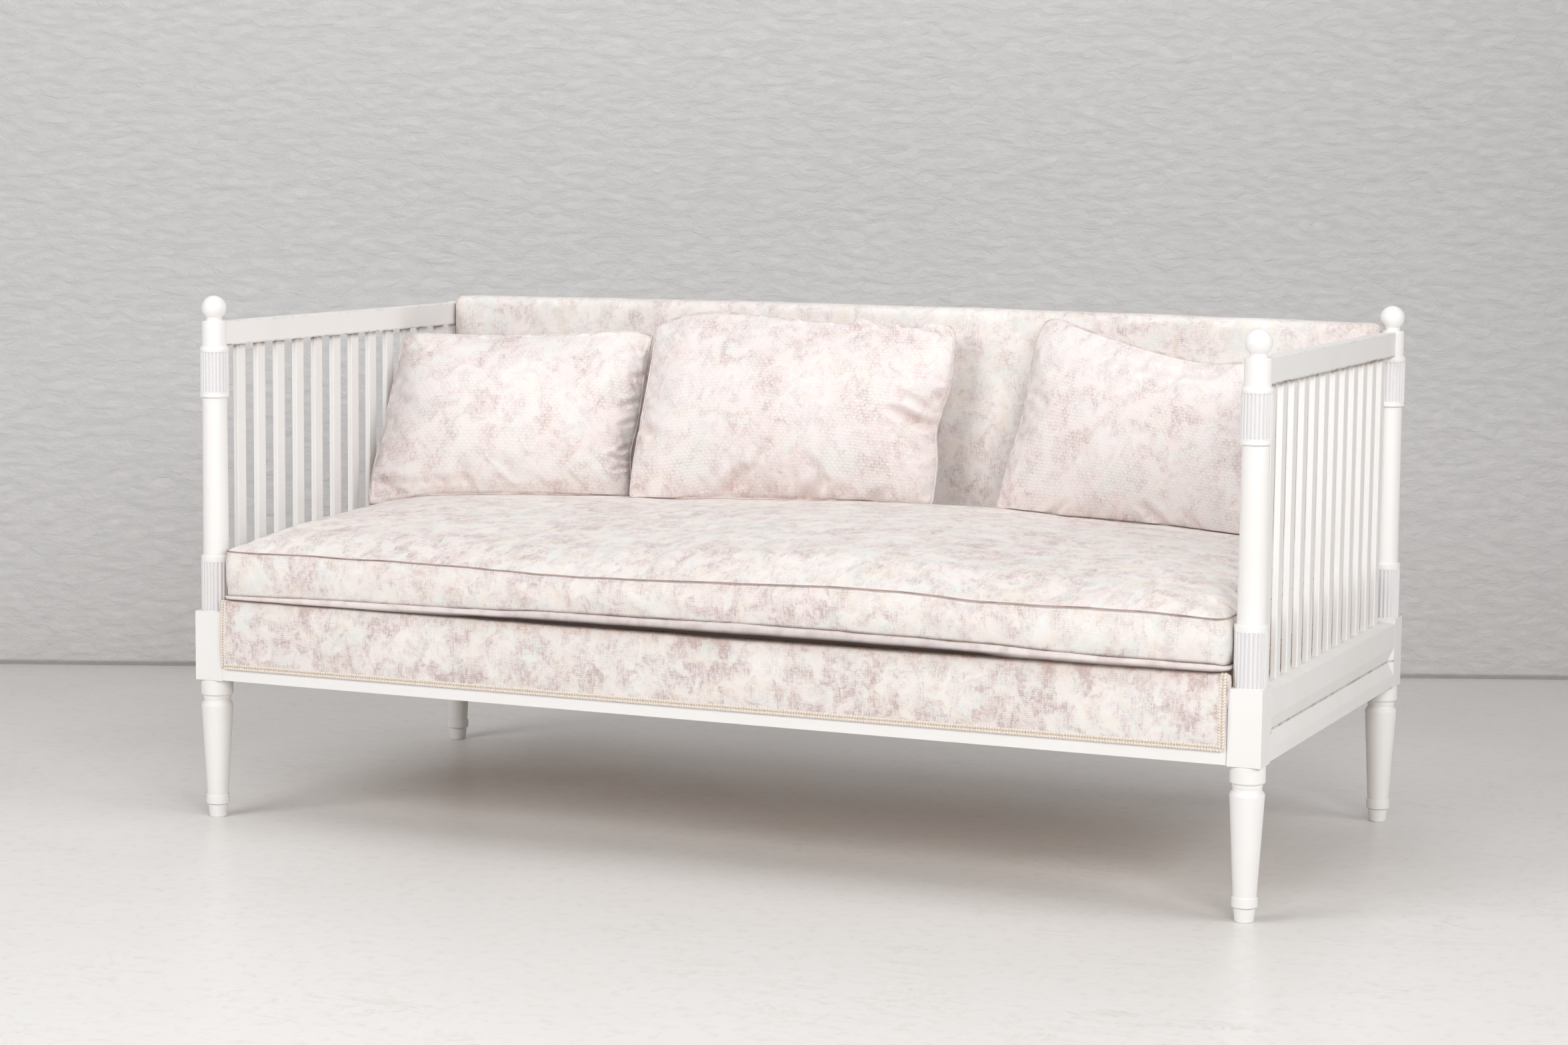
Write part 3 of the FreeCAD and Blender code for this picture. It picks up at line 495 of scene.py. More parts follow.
@dataclass(frozen=True)
class ChalkPaint(Finish):
    """Old white paint on wood."""

    along: Along = Along.HEIGHT
    wear: float = 0.2
    flutes: bool = False
    edge: float = 0.005
    paint_colour: Colour = (0.89, 0.872, 0.856)
    flute_colour: Colour = (0.76, 0.745, 0.765)
    chip_colour: Colour = (0.085, 0.052, 0.034)
    grime_and_shade_colour: Colour = (0.30, 0.245, 0.20)
    flute_shade_colour: Colour = (0.60, 0.575, 0.60)
    bands: tuple[tuple[float, float], ...] = ((0.3635, 0.4475), (0.741, 0.8105))
    flute_count: int = 22
    post: tuple[float, float] = (0.92, 0.43)
    grime_and_shade_lines: tuple[tuple[float, float, float], ...] = ()

    def paint(self, bench: NodeBench, shader: bpy.types.Node) -> None:
        """Draws the paint, its tinted fluted bands with painted shade in their flutes, lines of grime and painted
        shade, and its chips.

        Args:
            bench: The material's nodes.
            shader: Its Principled node.
        """
        place = bench.put("TexCoord").outputs["Object"]
        turned = bench.put("Mapping", {"Vector": place, "Rotation": self.along.value}).outputs[0]
        wear: object = self.wear
        colour: object = self.paint_colour
        across, deep, height = bench.put("SeparateXYZ", {0: place}).outputs
        if self.flutes:
            masks = []
            for low, high in self.bands:
                above = bench.sum_up("GREATER_THAN", height, low)
                masks.append(bench.sum_up("MULTIPLY", above, bench.sum_up("LESS_THAN", height, high)))
            band = bench.sum_up("ADD", *masks, clamp=True)
            colour = bench.blend(bench.sum_up("MULTIPLY", band, 0.55), self.paint_colour, self.flute_colour)
            # Painted shade in the flutes: darker at the angles of their grooves, found round each post's axis.
            sides = [bench.sum_up("SUBTRACT", bench.sum_up("ABSOLUTE", far), middle)
                     for far, middle in zip((deep, across), reversed(self.post))]
            turn = bench.sum_up("MULTIPLY", bench.sum_up("ARCTAN2", *sides), float(self.flute_count))
            groove = bench.rise(bench.sum_up("COSINE", turn), 0.25, 0.95)
            groove = bench.sum_up("MULTIPLY", bench.sum_up("MULTIPLY", groove, band), 0.55)
            colour = bench.blend(groove, colour, self.flute_shade_colour)
            wear = bench.rise(height, 0.03, 0.09, self.wear, self.wear + 0.5)
        made = BrushedPaint().place(bench, {"Vector": turned, "Wear": wear, "Edge": self.edge})
        tone = bench.rise(made["Tone"], 0.42, 0.72, 0.6)
        colour = bench.blend(tone, colour, bench.blend(1.0, colour, (0.965, 0.95, 0.925), "MULTIPLY"))
        # Darker lines under the arm rail, at the slats' tops and in the side rail's valley: painted shade in these
        # joints and hollows, with some grime.
        for level, spread, amount in self.grime_and_shade_lines:
            away = bench.sum_up("ABSOLUTE", bench.sum_up("SUBTRACT", height, level))
            patchy = bench.rise(bench.cloud(place, 38.0, 3.0, 0.6), 0.38, 0.62, amount, amount * 0.5)
            grime_and_shade = bench.sum_up("MULTIPLY", bench.rise(away, 0.0, spread, 0.0, 1.0), patchy)
            colour = bench.blend(grime_and_shade, colour, self.grime_and_shade_colour)
        colour = bench.blend(made["Chips"], colour, self.chip_colour)
        rough = bench.sum_up("MULTIPLY_ADD", made["Chips"], 0.3, bench.rise(made["Tone"], 0.3, 0.7, 0.52, 0.4))
        bench.feed(shader, {"Base Color": colour, "Roughness": rough, "Specular IOR Level": 0.4})
        self.relief(bench, shader, made["Height"], 0.00025, 0.6)


@dataclass(frozen=True)
class Pine(Finish):
    """Planed pine that was never painted."""

    along: Along = Along.DEPTH
    early: Colour = (0.60, 0.42, 0.25)
    late: Colour = (0.42, 0.25, 0.12)

    def paint(self, bench: NodeBench, shader: bpy.types.Node) -> None:
        """Draws the grain.

        Args:
            bench: The material's nodes.
            shader: Its Principled node.
        """
        place = bench.put("TexCoord").outputs["Object"]
        turned = bench.put("Mapping", {"Vector": place, "Rotation": self.along.value}).outputs[0]
        made = PineGrain().place(bench, {"Vector": turned, "Early": self.early, "Late": self.late})
        rough = bench.rise(made["Height"], 0.3, 0.7, 0.72, 0.55)
        bench.feed(shader, {"Base Color": made["Color"], "Roughness": rough})
        self.relief(bench, shader, made["Height"], 0.0003, 0.6)


@dataclass(frozen=True)
class OldSteel(Finish):
    """Dull bolts."""

    def paint(self, bench: NodeBench, shader: bpy.types.Node) -> None:
        """Draws dull steel with darker spots.

        Args:
            bench: The material's nodes.
            shader: Its Principled node.
        """
        place = bench.put("TexCoord").outputs["Object"]
        spots = bench.cloud(place, 380.0, 4.0, 0.6)
        colour = bench.blend(bench.rise(spots, 0.45, 0.65), (0.42, 0.41, 0.40), (0.16, 0.12, 0.09))
        bench.feed(shader, {"Base Color": colour, "Roughness": bench.rise(spots, 0.35, 0.65, 0.62, 0.34),
                            "Metallic": 1.0})
        self.relief(bench, shader, spots, 0.0002, 0.5)


@dataclass(frozen=True)
class PrintedCloth(Finish):
    """Cotton with raised cells and a blurred print."""

    ground: Colour = (0.888, 0.858, 0.826)
    blush: Colour = (0.862, 0.770, 0.750)
    blossom: Colour = (0.62, 0.505, 0.50)
    leaf: Colour = (0.81, 0.842, 0.808)
    straw: Colour = (0.880, 0.812, 0.725)
    shade: Colour = (0.53, 0.41, 0.39)
    warm_shade: Colour = (0.60, 0.44, 0.38)
    strength: float = 1.0
    cells: float = 1.0
    cell: float = 0.0052

    def paint(self, bench: NodeBench, shader: bpy.types.Node) -> None:
        """Draws the print on the cloth's own coordinates, its relief, painted shade in the cells' grooves and painted
        shade where a piece marks it.

        Args:
            bench: The material's nodes.
            shader: Its Principled node.
        """
        cloth = bench.put("UVMap", None, uv_map="cloth").outputs[0]
        made = BlurredPrint().place(bench, {"Vector": cloth, "Ground": self.ground, "Blush": self.blush,
                                            "Blossom": self.blossom, "Leaf": self.leaf, "Straw": self.straw,
                                            "Strength": self.strength})
        cells = WovenCells().place(bench, {"Vector": cloth, "Cell": self.cell})
        # Painted shade in the cells' grooves, deeper in the blossoms.
        sunk = bench.sum_up("MULTIPLY_ADD", made["Mask"], 0.3 * self.cells, 0.07 * self.cells)
        sunk = bench.sum_up("MULTIPLY", cells["Groove"], sunk)
        colour = bench.blend(sunk, made["Color"], self.shade)
        # Painted shade, dark and brown, where the piece's attribute marks it.
        shade_share = bench.put("Attribute", None, attribute_name="painted_shade").outputs["Fac"]
        shade_share = bench.sum_up("MULTIPLY", shade_share, bench.sum_up("MULTIPLY_ADD", made["Mask"], 0.9, 0.55), clamp=True)
        colour = bench.blend(shade_share, colour, self.warm_shade)
        bench.feed(shader, {"Base Color": colour, "Roughness": bench.rise(cells["Groove"], 0.0, 1.0, 0.96, 0.84),
                            "Specular IOR Level": 0.25, "Sheen Weight": 0.12, "Sheen Roughness": 0.6})
        self.relief(bench, shader, cells["Height"], 0.0006, 0.55)


@dataclass(frozen=True)
class CordCloth(Finish):
    """Bias strip over a seam cord, or the yarn of a braid."""

    light: Colour = (0.84, 0.79, 0.755)
    dark: Colour = (0.66, 0.585, 0.56)
    scale: float = 55.0
    shade: Colour = (0.055, 0.036, 0.030)

    def paint(self, bench: NodeBench, shader: bpy.types.Node) -> None:
        """Draws the cloth's tones and threads, and painted shade where a piece marks it.

        Args:
            bench: The material's nodes.
            shader: Its Principled node.
        """
        place = bench.put("TexCoord").outputs["Object"]
        tones = bench.rise(bench.cloud(place, self.scale, 4.0, 0.6), 0.42, 0.68)
        threads = bench.cloud(place, 1400.0, 2.0, 0.6)
        colour = bench.blend(tones, self.light, self.dark)
        # Painted shade, nearly black, where the piece's attribute marks it.
        shade_share = bench.put("Attribute", None, attribute_name="painted_shade").outputs["Fac"]
        bench.feed(shader, {"Base Color": bench.blend(shade_share, colour, self.shade),
                            "Roughness": bench.rise(threads, 0.3, 0.7, 0.95, 0.85), "Specular IOR Level": 0.25})
        self.relief(bench, shader, threads, 0.0004, 0.6)


ARM_RAIL_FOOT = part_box("arm_rail_right")[0][2]
PANEL_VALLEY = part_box("side_rail_right")[0][2] + 0.046


@dataclass(frozen=True)
class Finishes:
    """Every finish of the bench."""

    posts: ChalkPaint = ChalkPaint("post_paint", Along.HEIGHT, 0.12, True)
    finials: ChalkPaint = ChalkPaint("finial_paint", Along.HEIGHT, 0.0)
    uprights: ChalkPaint = ChalkPaint("slat_paint", Along.HEIGHT, 0.0,
                                      grime_and_shade_lines=((ARM_RAIL_FOOT, 0.011, 0.9),))
    arm_rails: ChalkPaint = ChalkPaint("arm_rail_paint", Along.DEPTH, 0.95, edge=0.007,
                                       grime_and_shade_lines=((ARM_RAIL_FOOT, 0.004, 0.5),))
    side_rails: ChalkPaint = ChalkPaint("side_rail_paint", Along.DEPTH, 0.1,
                                        grime_and_shade_lines=((PANEL_VALLEY, 0.0034, 0.85),))
    long_rails: ChalkPaint = ChalkPaint("long_rail_paint", Along.LENGTH, 0.3)
    pine_across: Pine = Pine("pine_across", Along.DEPTH)
    pine_along: Pine = Pine("pine_along", Along.LENGTH)
    pine_upright: Pine = Pine("pine_upright", Along.HEIGHT)
    steel: OldSteel = OldSteel("dull_steel")
    seat_cloth: PrintedCloth = PrintedCloth("seat_cloth", strength=0.95, cells=2.0)
    front_cloth: PrintedCloth = PrintedCloth("front_cloth", strength=1.3, cells=2.0)
    # A lighter copy of the printed cloth: its brighter ground is painted light, making up for the shade the back lies
    # in.
    lightened_back_cloth: PrintedCloth = PrintedCloth("lightened_back_cloth", ground=(0.94, 0.912, 0.884), blush=(0.89, 0.805, 0.785),
                                            blossom=(0.66, 0.555, 0.55), strength=0.75, cells=2.6)
    cushion_cloth: PrintedCloth = PrintedCloth(
        "cushion_cloth", ground=(0.882, 0.846, 0.834), blush=(0.872, 0.768, 0.752), blossom=(0.66, 0.54, 0.53),
        leaf=(0.832, 0.848, 0.825), straw=(0.882, 0.828, 0.778), strength=0.72, cells=2.1, cell=0.0095)
    cushion_cord: CordCloth = CordCloth("cushion_cord", (0.78, 0.70, 0.68), (0.60, 0.50, 0.485))
    pale_cord: CordCloth = CordCloth("pale_cord", (0.83, 0.755, 0.735), (0.70, 0.60, 0.59), 30.0)
    dark_cord: CordCloth = CordCloth("dark_cord", (0.48, 0.36, 0.335), (0.32, 0.225, 0.20), 40.0)
    seam_shade: CordCloth = CordCloth("seam_shade", (0.30, 0.215, 0.19), (0.20, 0.135, 0.115), 60.0)
    braid: CordCloth = CordCloth("braid_yarn", (0.89, 0.83, 0.765), (0.81, 0.735, 0.655), 240.0)
    braid_core: CordCloth = CordCloth("braid_core", (0.70, 0.585, 0.475), (0.57, 0.45, 0.35), 240.0)


FINISHES = Finishes()


# ---- Cloth tools ----


@dataclass(frozen=True)
class Stuffing:
    """How a sewn cover swells over its stuffing."""

    pressure: float = 4.0
    spare_cloth: float = 0.02
    reach: float = 0.02
    frames: int = 20
    bending: float = 0.4
    stretch: float = 15.0
    shear: float = 5.0
    mass: float = 0.3
    quality: int = 5

    def swell(self, piece: bpy.types.Object, held: str) -> None:
        """Lets the cover swell under pressure, with no gravity, and keeps each point within reach.

        Args:
            piece: The cover, sewn shut.
            held: The vertex group that stays where it is.
        """
        cover = piece.modifiers.new("stuffing", "CLOTH")
        cloth = cover.settings
        cloth.quality, cloth.mass = self.quality, self.mass
        cloth.tension_stiffness = cloth.compression_stiffness = self.stretch
        cloth.shear_stiffness = self.shear
        cloth.bending_stiffness = self.bending
        cloth.use_pressure = True
        cloth.uniform_pressure_force = self.pressure
        cloth.shrink_min = cloth.shrink_max = -self.spare_cloth
        cloth.effector_weights.gravity = 0.0
        cloth.vertex_group_mass = held
        scene = bpy.context.scene
        cover.point_cache.frame_end = self.frames
        for step in range(1, self.frames + 1):
            scene.frame_set(step)
        swollen = piece.evaluated_get(bpy.context.evaluated_depsgraph_get())
        places = [v.co.copy() for v in swollen.to_mesh().vertices]
        swollen.to_mesh_clear()
        piece.modifiers.remove(cover)
        scene.frame_set(1)
        for vertex, place in zip(piece.data.vertices, places):
            move = place - vertex.co
            if move.length > self.reach:
                move *= self.reach / move.length
            vertex.co += move
        piece.data.update()


def kept_in(piece: bpy.types.Object, node: str, slack: float) -> None:
    """Keeps a soft piece in the space of its CAD solid.

    Args:
        piece: The piece.
        node: The solid's name.
        slack: How far a point may stand outside it.
    """
    solid = tree_of(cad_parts[node])
    for vertex in piece.data.vertices:
        near, normal, _, far = solid.find_nearest(vertex.co)
        if far > slack and (vertex.co - near).dot(normal) > 0:
            vertex.co = near + (vertex.co - near) * (slack / far)
    piece.data.update()


def painted_shade(piece: bpy.types.Object, amounts: Iterable[float]) -> None:
    """Marks painted shade, darker and browner, on a piece's cloth, by an amount from 0 to 1 at each vertex."""
    layer = piece.data.attributes.new("painted_shade", "FLOAT", "POINT")
    for place, amount in zip(layer.data, amounts):
        place.value = amount


def sewn_edge(piece: bpy.types.Object, edges: Iterable[int], sharpness: float) -> None:
    """Keeps seams from melting when the piece is subdivided.

    Args:
        piece: The piece.
        edges: The seam's edges.
        sharpness: How sharp they stay, from 0 to 1.
    """
    crease = piece.data.attributes.new("crease_edge", "FLOAT", "EDGE")
    for edge in edges:
        crease.data[edge].value = sharpness


def rounded_off(piece: bpy.types.Object) -> None:
    """Adds the one subdivision that finishes a soft piece."""
    smooth = piece.modifiers.new("smooth", "SUBSURF")
    smooth.levels = smooth.render_levels = 1


def seam_cord(name: str, path: list[Vector], radius: float, closed: bool, finish: Finish, sides: int = 1,
              girths: Iterable[float] = ()) -> bpy.types.Object:
    """Sews a covered cord along a seam.

    Args:
        name: The cord's name.
        path: The points that it follows.
        radius: Its radius.
        closed: Whether it runs all round.
        finish: Its finish.
        sides: The bevel's resolution.
        girths: How thick it is at each point, as a share of the radius, where that changes.

    Returns:
        The cord, as a mesh.
    """
    curve = bpy.data.curves.new(name + "_line", "CURVE")
    curve.dimensions = "3D"
    curve.bevel_depth = radius
    curve.bevel_resolution = sides
    curve.use_fill_caps = not closed
    line = curve.splines.new("POLY")
    line.points.add(len(path) - 1)
    for point, place in zip(line.points, path):
        point.co = (*place, 1.0)
    for point, girth in zip(line.points, girths):
        point.radius = girth
    line.use_cyclic_u = closed
    holder = bpy.data.objects.new(name + "_line", curve)
    bpy.context.scene.collection.objects.link(holder)
    mesh = bpy.data.meshes.new_from_object(holder.evaluated_get(bpy.context.evaluated_depsgraph_get()))
    bpy.data.objects.remove(holder)
    bpy.data.curves.remove(curve)
    mesh.name = name
    mesh.materials.clear()
    mesh.materials.append(finish.material())
    mesh.shade_smooth()
    cord = bpy.data.objects.new(name, mesh)
    bpy.context.scene.collection.objects.link(cord)
    return cord


def evened(path: list[Vector], passes: int, closed: bool) -> list[Vector]:
    """Evens out a line of points.

    Args:
        path: The points.
        passes: How many times each point moves towards the middle of its neighbours.
        closed: Whether the line runs all round.

    Returns:
        The evened points.
    """
    for _ in range(passes):
        count = len(path)
        last = [path[(i - 1) % count] for i in range(count)]
        following = [path[(i + 1) % count] for i in range(count)]
        moved = [p * 0.5 + (a + b) * 0.25 for p, a, b in zip(path, last, following)]
        if not closed:
            moved[0], moved[-1] = path[0], path[-1]
        path = moved
    return path


# ---- Wood and bolts ----


@dataclass
class Woodwork:
    """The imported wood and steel, which keeps its shape and gets its finishes here."""

    finishes: tuple[tuple[Finish, tuple[str, ...]], ...] = (
        (FINISHES.posts, ("post_",)), (FINISHES.finials, ("finial_",)), (FINISHES.arm_rails, ("arm_rail_",)),
        (FINISHES.uprights, ("arm_slat_",)), (FINISHES.side_rails, ("side_rail_",)),
        (FINISHES.long_rails, ("rear_rail", "front_board")), (FINISHES.steel, ("leg_bolt_",)),
        (FINISHES.pine_along, ("front_bearer", "rear_ledger", "slide_batten", "support_leg_", "back_top_rail",
                               "back_bottom_rail")),
        (FINISHES.pine_across, ("slide_runner_", "fixed_seat_slats", "moving_seat_slats")),
        (FINISHES.pine_upright, ("back_stile_",)),
    )

    def dress(self) -> None:
        """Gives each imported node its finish."""
        for name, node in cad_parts.items():
            for finish, starts in self.finishes:
                if name.startswith(starts):
                    node.data.materials.clear()
                    node.data.materials.append(finish.material())
        log.info("woodwork: %d finishes", len(self.finishes))


# ---- Seat cushion ----


@dataclass
class SeatCushion:
    """The boxed seat cushion: a crowned top, a border, a flat underside and a cord along each seam."""

    half_length: float = 0.886
    front: float = -0.4605
    rear: float = 0.366
    floor: float = 0.3878
    corner: float = 0.019
    crown: float = 0.066
    border_bulge: Course = Course(((-0.886, 0.0035), (-0.5, 0.0045), (-0.1, 0.008), (0.5, 0.0085), (0.886, 0.0045)))
    roll_foot: float = 0.3870
    roll_radius: float = 0.005
    hidden_roll: float = 0.0028
    seen: float = -0.42
    plain_bulge: float = 0.0035
    plain_upper: float = 0.470
    plain_lower: float = 0.3935
    roll_shade: Course = Course(((-0.886, 0.0), (-0.65, 0.1), (-0.45, 0.5), (-0.3, 1.0), (0.42, 1.0), (0.5, 0.7),
                                 (0.58, 0.35), (0.886, 0.3)))
    overhang: Course = Course(((-0.886, 0.0), (-0.6, 0.0005), (-0.2, 0.003), (0.1, 0.005), (0.7, 0.005),
                               (0.886, 0.002)))
    columns: int = 140
    rows: int = 66
    border_rows: int = 7
    upper_seam: Course = Course(((-0.884, 0.470), (-0.507, 0.472), (-0.232, 0.467), (0.072, 0.474), (0.326, 0.479),
                                 (0.525, 0.471), (0.730, 0.473), (0.875, 0.468)))
    lower_seam: Course = Course(((-0.886, 0.3935), (-0.76, 0.3965), (-0.69, 0.3985), (-0.5, 0.4005), (-0.408, 0.4015),
                                 (-0.28, 0.4055), (-0.04, 0.4085), (0.16, 0.4095), (0.39, 0.4075), (0.52, 0.4055),
                                 (0.60, 0.4020), (0.70, 0.3998), (0.84, 0.3993), (0.866, 0.3990), (0.886, 0.3955)))
    crown_along: Course = Course(((-1, 0), (-0.992, 0.24), (-0.97, 0.44), (-0.9, 0.64), (-0.75, 0.70), (-0.5, 0.74),
                                  (-0.2, 0.86), (0.1, 1), (0.25, 1), (0.45, 0.87), (0.7, 0.75), (0.85, 0.62),
                                  (0.97, 0.44), (0.992, 0.24), (1, 0)))
    crown_across: Course = Course(((0, 0), (0.012, 0.14), (0.04, 0.32), (0.1, 0.5), (0.25, 0.72), (0.58, 1),
                                   (0.85, 0.9), (0.96, 0.64), (0.99, 0.3), (1, 0)))
    stuffing: Stuffing = Stuffing(spare_cloth=0.012, reach=0.009)

    def plan(self, s: float, t: float) -> tuple[float, float]:
        """Where a share of the panel lies in plan.

        Args:
            s: Share along, from -1 to 1.
            t: Share across, from -1 at the front to 1 at the rear.

        Returns:
            Its x and y.
        """
        half_depth = (self.rear - self.front) / 2
        x, y = rounded(bunched(s) * self.half_length, bunched(t) * half_depth, self.half_length, half_depth,
                       self.corner)
        return x, y + (self.rear + self.front) / 2

    def seam(self, x: float, y: float, upper: bool) -> float:
        """A seam's height.

        Args:
            x: Place along.
            y: Place across.
            upper: Whether it is the upper seam.

        Returns:
            The height.
        """
        near = soft_step(0.1, -0.3, y) if y > -0.3 else 1.0
        level, course = (self.plain_upper, self.upper_seam) if upper else (self.plain_lower, self.lower_seam)
        height = level + (course.at(x) - level) * near
        return height + (0.0013 if upper else 0.0007) * noise.noise(Vector((x * 16, y * 16, 3.0 if upper else 9.0)))

    def shape_point(self, s: float, t: float, rise: float) -> Vector:
        """A point of the cover.

        Args:
            s: Share along.
            t: Share across.
            rise: 1 on the top panel, 0 on the underside, and between them on the border.

        Returns:
            The point.
        """
        x, y = self.plan(s, t)
        depth = self.rear - self.front
        if rise > 0.999:
            share = (y - self.front) / depth
            lift = self.crown * self.crown_along.at(x / self.half_length) * self.crown_across.at(share)
            wave = 0.0022 * noise.noise(Vector((x * 5.5, y * 7.0, 1.0)))
            margin = min(self.half_length - abs(x), y - self.front, self.rear - y)
            gather = 0.0016 * noise.noise(Vector((x * 30 + y * 12, y * 15 - x * 9, 2.0)))
            gather *= min(1.0, margin / 0.006) * math.exp(-margin / 0.05)
            return Vector((x, y, self.seam(x, y, True) + lift + wave * min(1.0, lift / 0.02) + gather))
        low = self.seam(x, y, False)
        if rise < 0.001:
            margin = min(self.half_length - abs(x), y - self.front, self.rear - y)
            rim = max(0.0, 1 - margin / 0.022)
            proud = self.overhang.at(x) * rim if y < 0 else 0.0
            return Vector((x, y, self.floor + (low - self.floor) * rim ** 1.6)) + self.outward(s, t) * proud
        high = self.seam(x, y, True)
        bulge = self.border_bulge.at(x) if y < 0 else self.plain_bulge
        proud = self.overhang.at(x) * (1 - rise) if y < 0 else 0.0
        gather = 0.0011 * noise.noise(Vector((x * 34, y * 34, rise * 1.5)))
        full = (1 - (2 * rise - 1) ** 2) * (bulge + gather) + proud
        return Vector((x, y, low + (high - low) * rise)) + self.outward(s, t) * full

    def outward(self, s: float, t: float) -> Vector:
        """Which way the border faces.

        Args:
            s: Share along.
            t: Share across.

        Returns:
            A flat vector outwards.
        """
        here = Vector(self.plan(s, t))
        inner = Vector((max(-self.half_length + self.corner, min(self.half_length - self.corner, here.x)),
                        max(self.front + self.corner, min(self.rear - self.corner, here.y))))
        way = here - inner
        return Vector((way.x, way.y, 0)).normalized()

    def build(self) -> bpy.types.Object:
        """Sews the cover and fills it.

        Returns:
            The cushion.
        """
        shape = bmesh.new()
        bmesh.ops.create_grid(shape, x_segments=self.columns, y_segments=self.rows, size=1.0)
        share_s, share_t = (shape.verts.layers.float.new(n) for n in ("share_s", "share_t"))
        rise, girth = (shape.verts.layers.float.new(n) for n in ("rise", "girth"))
        for vertex in shape.verts:
            vertex[share_s], vertex[share_t], vertex[rise] = vertex.co.x, vertex.co.y, 1.0
            vertex[girth] = self.girth_at(vertex.co.x, vertex.co.y)
        copy = bmesh.ops.duplicate(shape, geom=shape.verts[:] + shape.edges[:] + shape.faces[:])["geom"]
        under = [g for g in copy if isinstance(g, bmesh.types.BMVert)]
        for vertex in under:
            vertex[rise] = 0.0
            vertex.co.z = -1.0
        bmesh.ops.reverse_faces(shape, faces=[g for g in copy if isinstance(g, bmesh.types.BMFace)])
        rims = [e for e in shape.edges if e.is_boundary]
        bridge = bmesh.ops.bridge_loops(shape, edges=rims)
        posts = [e for e in bridge["edges"] if e.verts[0][rise] != e.verts[1][rise]]
        bmesh.ops.subdivide_edges(shape, edges=posts, cuts=self.border_rows, use_grid_fill=True)
        for vertex in shape.verts:
            vertex.co = self.shape_point(vertex[share_s], vertex[share_t], vertex[rise])
        bmesh.ops.recalc_face_normals(shape, faces=shape.faces)
        self.lay_out(shape)
        shape.verts.index_update()
        shape.edges.index_update()
        seams = [e.index for e in shape.edges
                 if e.verts[0][rise] == e.verts[1][rise] and e.verts[0][rise] in (0.0, 1.0)
                 and any(v[rise] not in (0.0, 1.0) for f in e.link_faces for v in f.verts)]
        held = [v.index for v in shape.verts if v[rise] < 0.001
                or (v[rise] > 0.999 and max(abs(v[share_s]), abs(v[share_t])) > ON_RIM)]
        piece = finished_mesh("seat_cushion_cover", shape)
        piece.vertex_groups.new(name="sewn").add(held, 1.0, "REPLACE")
        self.stuffing.swell(piece, "sewn")
        sewn_edge(piece, seams, 0.8)
        rounded_off(piece)
        piece.data.materials.append(FINISHES.seat_cloth.material())
        return piece

    def girth_at(self, s: float, t: float) -> float:
        """How far round the border a place on the panel's edge is, for laying out its cloth.

        Args:
            s: Share along.
            t: Share across.

        Returns:
            Metres from the middle of the rear, round by the left.
        """
        x, y = bunched(s) * self.half_length, bunched(t) * (self.rear - self.front) / 2
        depth = (self.rear - self.front) / 2
        if t >= abs(s):
            return -x if x <= 0 else 4 * (self.half_length + depth) - x
        if s <= -abs(t):
            return self.half_length + depth - y
        if t <= -abs(s):
            return self.half_length + 2 * depth + self.half_length + x
        return 3 * self.half_length + 2 * depth + depth + y

    def lay_out(self, shape: bmesh.types.BMesh) -> None:
        """Lays the printed cloth on the panels and the border.

        Args:
            shape: The cover.
        """
        cloth = shape.loops.layers.uv.new("cloth")
        rise, girth = shape.verts.layers.float["rise"], shape.verts.layers.float["girth"]
        whole = 4 * self.half_length + 2 * (self.rear - self.front)
        for face in shape.faces:
            heights = [v[rise] for v in face.verts]
            flat = max(heights) - min(heights) < SNUG and heights[0] in (0.0, 1.0)
            places = [v[girth] for v in face.verts]
            wraps = max(places) - min(places) > whole / 2
            for loop in face.loops:
                point = loop.vert.co
                if flat:
                    loop[cloth].uv = (point.x, point.y + (5.0 if heights[0] > 0.5 else 9.0))
                else:
                    place = loop.vert[girth]
                    place += whole if wraps and place < whole / 2 else 0.0
                    loop[cloth].uv = (place - 2.0, point.z + 2.0)

    def ring(self, upper: bool, outset: float, drop: float, rolled: float = 0.0) -> list[Vector]:
        """The line of a seam all round the cushion.

        Args:
            upper: Whether it is the upper seam.
            outset: How far out the cord lies.
            drop: How far below the seam it lies.
            rolled: How many of the roll's radii it lies below that.

        Returns:
            The line's points.
        """
        steps = 70
        edge = ([(-1 + 2 * i / (2 * steps), -1.0) for i in range(2 * steps)]
                + [(1.0, -1 + 2 * i / steps) for i in range(steps)]
                + [(1 - 2 * i / (2 * steps), 1.0) for i in range(2 * steps)]
                + [(-1.0, 1 - 2 * i / steps) for i in range(steps)])
        points = []
        for s, t in edge:
            x, y = self.plan(s, t)
            height = self.seam(x, y, upper)
            lump = 0.0005 * noise.noise(Vector((x * 21, y * 21, 1.5))) if rolled else 0.0
            proud = self.overhang.at(x) if y < 0 else 0.0
            points.append(Vector((x, y, height - drop - rolled * self.roll_at(x, y) + lump))
                          + self.outward(s, t) * (outset + proud))
        return points

    def roll_at(self, x: float, y: float) -> float:
        """Half the height of the roll under the lower seam, which fills the gap down to the front cover."""
        return (self.seam(x, y, False) - self.roll_foot) / 2 if y < self.seen else self.hidden_roll

